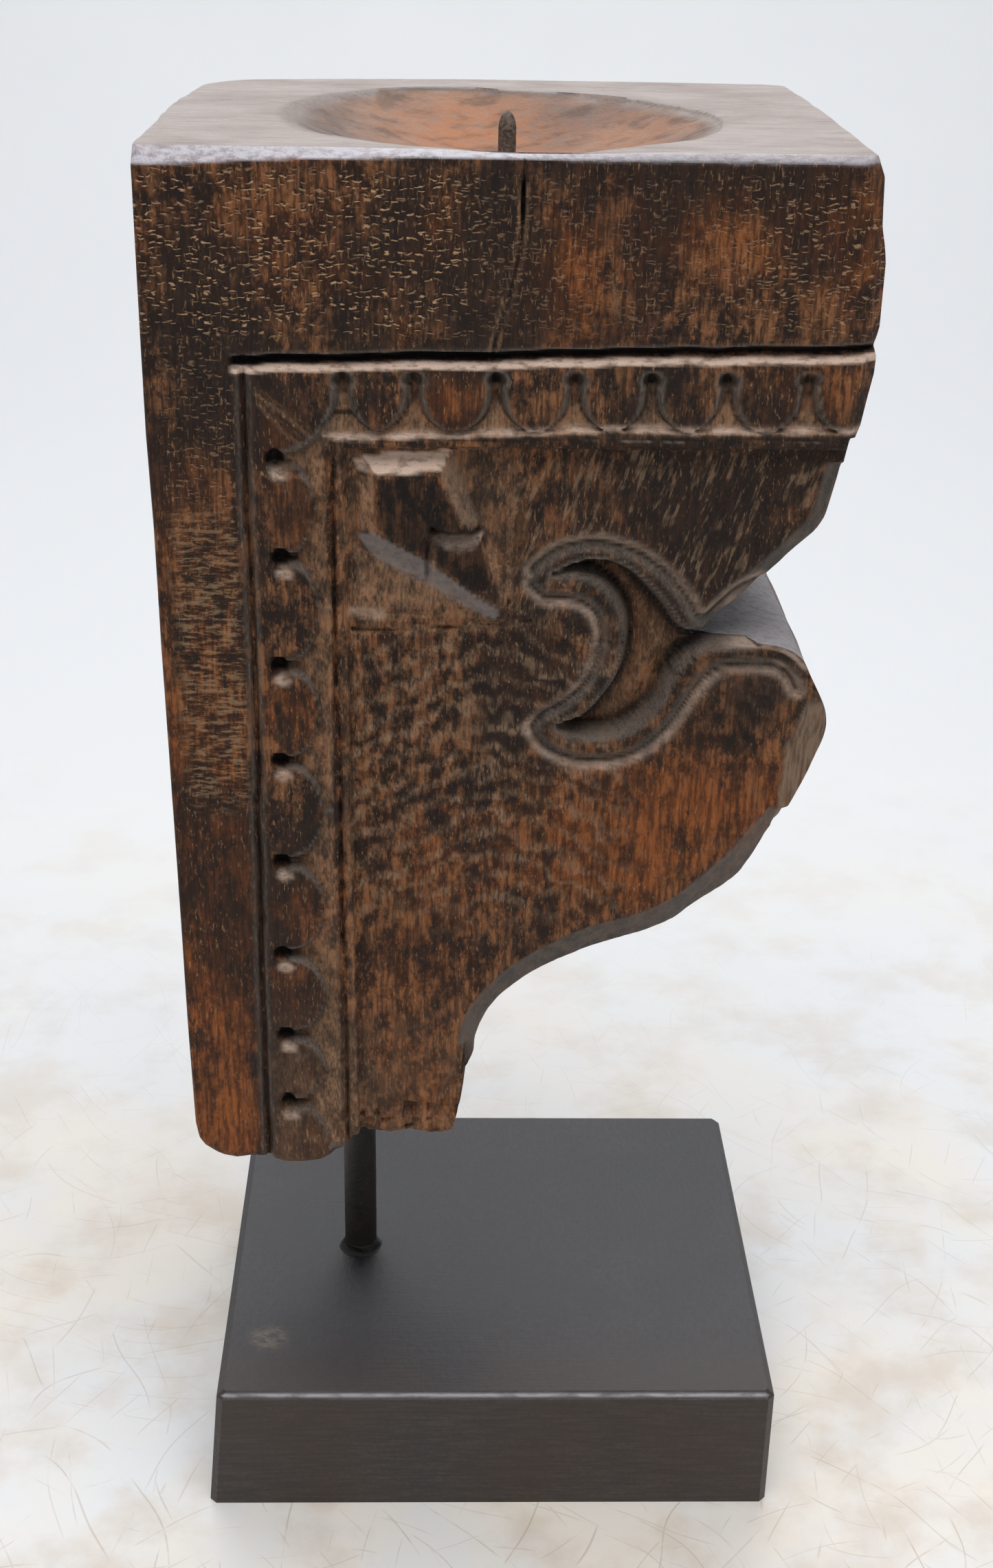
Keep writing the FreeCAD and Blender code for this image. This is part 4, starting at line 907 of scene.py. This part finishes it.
# Small crescent nicks: cells a couple of millimetres wide, each with one short curved lip painted pale as a
# highlight, with painted shadow just above it.
cells = node("CombineXYZ", {0: times(place[0], 640.0), 1: times(place[2], 1150.0)}).outputs[0]
shifted = node("TexNoise", {"Vector": cells, "Scale": 0.55, "Detail": 3.0}).outputs["Color"]
shifted = node("VectorMath", {0: shifted, "Scale": 2.6}, operation="SCALE").outputs[0]
cells = node("VectorMath", {0: cells, 1: shifted}, operation="ADD").outputs[0]
nearest = node("TexVoronoi", {"Vector": cells, "Scale": 1.0}, voronoi_dimensions="2D")
offset = node("VectorMath", {0: cells, 1: nearest.outputs["Position"]}, operation="SUBTRACT").outputs[0]
offset = node("SeparateXYZ", {0: offset}).outputs
chance = node("SeparateColor", {0: nearest.outputs["Color"]}).outputs
sideways = sum_of("ABSOLUTE", offset[0])
arc = less(offset[1], times(sum_of("POWER", sideways, 2.0), less(times(chance[1], 1.8), 0.5)))
taken = times(ramp(chance[0], 0.46, 0.62), times(mark("nick"), ramp(grime, 0.34, 0.52, 0.2, 1.0)))
short = times(ramp(sideways, 0.22, 0.42, 1.0, 0.0), taken)
lip = times(ramp(sum_of("ABSOLUTE", arc), 0.05, 0.22, 1.0, 0.0), short)
nick_shadow = times(ramp(sum_of("ABSOLUTE", less(arc, 0.32)), 0.08, 0.30, 1.0, 0.0), short)
# Worn wood and painted highlights on up-facing lips and edges, laid on pale.
pale = times(mark("wear_and_highlight"), ramp(noise(900, (0.5, 1, 1), detail=5), 0.32, 0.56, 0.40, 1.0))
# All of that on the wood, one coat over another.
ground = layers(
    (0.022, 0.0105, 0.0068),
    (ramp(mottle, 0.42, 0.60), (0.265, 0.115, 0.05)),
    (ramp(fibre, 0.44, 0.58, 0.0, 0.70), (0.018, 0.0105, 0.008)),
    (redness, orange),
    (smoke, (0.014, 0.01, 0.009)),
    (times(pores, 0.60), (0.52, 0.30, 0.15)),
    (times(marked, 0.64), (0.35, 0.225, 0.14)),
    (times(dusty, 0.85), (0.39, 0.23, 0.135)),
    (times(mark("edge"), ramp(fleck, 0.34, 0.60, 0.45, 1.0)), (0.14, 0.113, 0.093)),
    # Grey margins, with painted sheen on the shine facet and on up-facing walls.
    (times(mark("grey"), ramp(mottle, 0.35, 0.6, 0.55, 0.9)), (0.135, 0.12, 0.108)),
    (times(mark("bare"), 0.8), fresh),
    # Painted shadow just above each nick, then its lip painted pale as a highlight.
    (times(nick_shadow, 0.75), (0.015, 0.01, 0.008)),
    (times(lip, 0.85), (0.62, 0.37, 0.20)),
    (times(times(ramp(ribs, 0.50, 0.60), mark("rib")), 0.60), (0.34, 0.22, 0.12)),
    (times(ramp(ribs, 0.40, 0.48, 0.75, 0.0), mark("rib")), (0.016, 0.01, 0.007)),
    # Pale of worn wood and painted highlights.
    (sum_of("MINIMUM", pale, 0.95), (0.68, 0.50, 0.395)),
    # Painted shade from the black mark: grooves, drilled heads, hollows, the crack and the saw groove.
    (ramp(mark("black"), 0.1, 0.9, 0.0, 0.93), (0.004, 0.0035, 0.0035)))
# Top face, picked out by facing up: rubbed to a grey-tan gloss with its grain running across, its pale reflection
# painted into the grey-tan; the bevel brighter with a painted highlight, the dish redder.
high = ramp(place[2], float(top_plane / 1000 - 0.016), float(top_plane / 1000 - 0.012))
topside = times(times(ramp(up, 0.55, 0.90), less(1.0, mark("cheek"))), high)
cross_grain = noise(1500, (0.05, 1, 1), detail=6, roughness=0.7)
cross_patch = noise(75, (0.5, 1, 1), detail=6, roughness=0.6)
bowl = layers(
    (0.15, 0.118, 0.106),
    (ramp(cross_patch, 0.34, 0.62), (0.30, 0.20, 0.15)),
    (times(mark("red"), ramp(mottle, 0.32, 0.58, 0.35, 1.0)), (0.39, 0.16, 0.072)),
    (ramp(noise(260, (0.6, 1, 1), detail=6), 0.46, 0.68, 0.0, 0.55), (0.085, 0.055, 0.042)))
knot = distance_from(-0.0262, 0.0190, 0.42)
worn_patch = sum_of("ADD", distance_from(0.0180, -0.0230, 0.5), times(mottle, 0.006))
tan = layers(
    (0.33, 0.28, 0.26),
    (ramp(cross_patch, 0.34, 0.64), (0.415, 0.365, 0.345)),
    (ramp(cross_grain, 0.50, 0.66, 0.0, 0.60), (0.20, 0.145, 0.115)),
    (mark("dish"), bowl),
    (times(mark("rim"), ramp(cross_patch, 0.36, 0.60, 0.4, 0.9)), (0.085, 0.06, 0.05)),
    (ramp(knot, 0.0012, 0.0023, 0.65, 0.0), (0.17, 0.11, 0.075)),
    (ramp(worn_patch, 0.0075, 0.0095, 0.6, 0.0), (0.20, 0.19, 0.19)))
shiny = ramp(noise(800, (0.7, 1, 1), detail=5, roughness=0.65), 0.36, 0.58, 0.55, 1.0)
# Painted highlight of bluish white along the worn front bevel, on the shine facet and on up-facing walls.
ground = layers(ground, (topside, tan), (times(mark("bevel"), shiny), (0.56, 0.535, 0.58)))
rough = sum_of("ADD", times_plus(mottle, 0.50, 0.36), times(dusty, 0.35))
rough = less(less(rough, times(mark("bevel"), 0.22)), times(mark("grey"), 0.12))
# Relief: grain lines, pores, mottle, and the combed marks, nicks and ribs.
finish_with(ground, rough, (fibre, 0.00045, 0.7), (fleck, 0.00030, 0.6), (mottle, 0.00075, 0.7),
            (times(combed, -1.0), 0.00035, 0.6), (less(lip, nick_shadow), 0.00026, 0.8),
            (times(ribs, mark("rib")), 0.00070, 0.8), (times(slanted, -1.0), 0.00022, 0.7))
shader.inputs["Specular IOR Level"].default_value = 0.22
bracket.data.materials.append(wood)
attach(bracket, "root")
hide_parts("carved_bracket")


# ---------------------------------------------------------------- pricket
# A cut iron nail driven into the middle of the dish and filed to a blunt bullet point.
# Rust-brown and rough, with fine grey streaks drawn along it.
spike_radius = (spike_high[0] - spike_low[0]) / 2000
spike_middle = (dish_x / 1000, dish_y / 1000)
seat = (top_plane - bowl_depth) / 1000 + 0.0001
shoulder = seat + 0.0069
point_up = np.linspace(0, 1, 12)
spike_foot, spike_tip = spike_low[2] / 1000 + 0.0001, spike_high[2] / 1000 - 0.0001
spike_heights = np.concatenate([[spike_foot] * 2, np.linspace(spike_foot + 0.0003, seat, 8),
                                np.linspace(seat, shoulder, 16), shoulder + (spike_tip - shoulder) * point_up[1:]])
bullet = np.sqrt(np.clip(1 - point_up[1:] ** 1.9, 0.015, 1))
spike_radii = np.concatenate([[0.0006, spike_radius - 0.0005], np.full(8, spike_radius - 0.00027),
                              np.full(16, spike_radius * 0.985), spike_radius * bullet])
spike = lathe("iron_pricket", spike_middle, spike_heights, spike_radii, 32, 0.012, 17)
rusty, tree, shader, here = new_material("rusty_iron")
crust = noise(1300, detail=6, roughness=0.7)
drawn = noise(2600, (1, 1, 0.15), detail=3)
iron = layers((0.050, 0.034, 0.026), (ramp(crust, 0.40, 0.62), (0.170, 0.120, 0.090)),
              (ramp(drawn, 0.60, 0.72, 0.0, 0.6), (0.28, 0.22, 0.18)))
finish_with(iron, times_plus(crust, 0.5, 0.30), (drawn, 0.00015, 0.5), (crust, 0.00030, 0.8))
spike.data.materials.append(rusty)
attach(spike, "root")
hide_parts("candle_pricket")


# ---------------------------------------------------------------- floor, backdrop, light and camera
# A scratched cream board on the floor and a plain pale sweep behind it, under soft overhead light.
rounded = np.linspace(0, np.pi / 2, 30)[1:]
sweep_y = np.concatenate([np.linspace(-1.6, 0.9, 60), 0.9 + 0.8 * np.sin(rounded), np.full(12, 1.7)])
sweep_z = np.concatenate([np.zeros(60), 0.8 - 0.8 * np.cos(rounded), np.linspace(0.85, 2.8, 12)])
floor_points = np.stack(np.broadcast_arrays(np.linspace(-2.2, 2.2, 30), sweep_y[:, None], sweep_z[:, None]), -1)
floor_numbers = np.arange(floor_points[..., 0].size).reshape(floor_points.shape[:2])
floor = new_piece("floor_sweep", floor_points.reshape(-1, 3), quads_of(floor_numbers)[:, ::-1], np.zeros((0, 3), int))
board, tree, shader, here = new_material("scratched_cream_board")
place = node("SeparateXYZ", {0: here}).outputs
stain = noise(9, detail=7, roughness=0.62)
blot = noise(30, detail=6, roughness=0.6)
lines = 0.0
for number, (spacing, turned, bend, strength) in enumerate((
        (0.012, 0.35, 0.016, 1.0), (0.017, 1.25, 0.015, 0.8), (0.010, 2.20, 0.018, 0.9), (0.022, -0.50, 0.014, 1.0),
        (0.014, 2.75, 0.016, 0.7), (0.019, 0.85, 0.020, 0.8), (0.009, 1.75, 0.017, 0.6))):
    moved = node("Mapping", {0: here, "Rotation": (0, 0, turned), "Location": (number * 3.7, number * 1.9, 0)})
    moved = moved.outputs[0]
    wander = node("TexNoise", {"Vector": moved, "Scale": 7.0, "Detail": 2.0}).outputs["Fac"]
    along_it = node("SeparateXYZ", {0: moved}).outputs[0]
    turns = times_plus(wander, bend * 6 / spacing, times(along_it, 1 / spacing))
    off_line = sum_of("ABSOLUTE", less(sum_of("FRACT", turns), 0.5))
    patchy = ramp(node("TexNoise", {"Vector": moved, "Scale": 45.0, "Detail": 4.0}).outputs["Fac"], 0.50, 0.60)
    lines = sum_of("MAXIMUM", lines, times(ramp(off_line, 0.0, 0.00027 / spacing, strength, 0.0), patchy))
near = ramp(place[1], -0.10, 0.45, 1.0, 0.0)
tone = layers((0.735, 0.745, 0.760), (times(near, ramp(stain, 0.36, 0.66)), (0.820, 0.755, 0.665)),
              (times(near, ramp(blot, 0.44, 0.68, 0.0, 0.50)), (0.56, 0.45, 0.34)),
              (times(ramp(place[1], -0.10, 0.30, 0.45, 0.0), lines), (0.36, 0.24, 0.15)))
finish_with(tone, times_plus(stain, 0.25, 0.35), (blot, 0.0006, 0.15))
floor.data.materials.append(board)


def soft_light(name, where, aim, width, height, watts):
    """A flat rectangular lamp at where, turned to face aim."""
    data = bpy.data.lights.new(name, "AREA")
    data.shape, data.size, data.size_y, data.energy = "RECTANGLE", width, height, watts
    lamp = bpy.data.objects.new(name, data)
    ray = np.array(aim, float) - np.array(where, float)
    lamp.location = where
    lamp.rotation_euler = (np.arctan2(np.hypot(ray[0], ray[1]), -ray[2]), 0, np.arctan2(ray[1], ray[0]) - np.pi / 2)
    bpy.context.scene.collection.objects.link(lamp)


soft_light("overhead", (0.05, -0.36, 1.28), (0, -0.02, 0.12), 1.1, 0.8, 12.5)
soft_light("overhead_back", (-0.15, 0.75, 1.25), (0, 0.05, 0.15), 1.4, 0.8, 5)
soft_light("backdrop_wash", (0.0, 1.55, 1.5), (0, 1.35, 0.1), 2.2, 0.6, 14)
world = bpy.data.worlds.new("studio")
world.use_nodes = True
sky = world.node_tree.nodes["Background"].inputs
sky["Color"].default_value, sky["Strength"].default_value = (0.90, 0.94, 1.0, 1), 0.34
bpy.context.scene.world = world
bpy.context.scene.view_settings.view_transform = "Standard"

# The camera looks down 25 degrees at the front, a hand's height above the stand.
pitch, yaw, roll = np.radians(25.393), np.radians(1.748), np.radians(-1.146)
ahead = np.array([np.sin(yaw) * np.cos(pitch), np.cos(yaw) * np.cos(pitch), -np.sin(pitch)])
side = np.array([np.cos(yaw), -np.sin(yaw), 0])
below = np.cross(ahead, side)
side, below = np.cos(roll) * side + np.sin(roll) * below, -np.sin(roll) * side + np.cos(roll) * below
camera = bpy.data.objects.new("camera", bpy.data.cameras.new("camera"))
camera.data.lens, camera.data.sensor_width, camera.data.sensor_fit = 48.157, 36.0, "AUTO"
turned = np.eye(4)
turned[:3] = np.stack([side, -below, -ahead, (-0.01426, -0.42902, 0.36414)], -1)
camera.matrix_world = Matrix(turned.tolist())
bpy.context.scene.collection.objects.link(camera)
bpy.context.scene.camera = camera
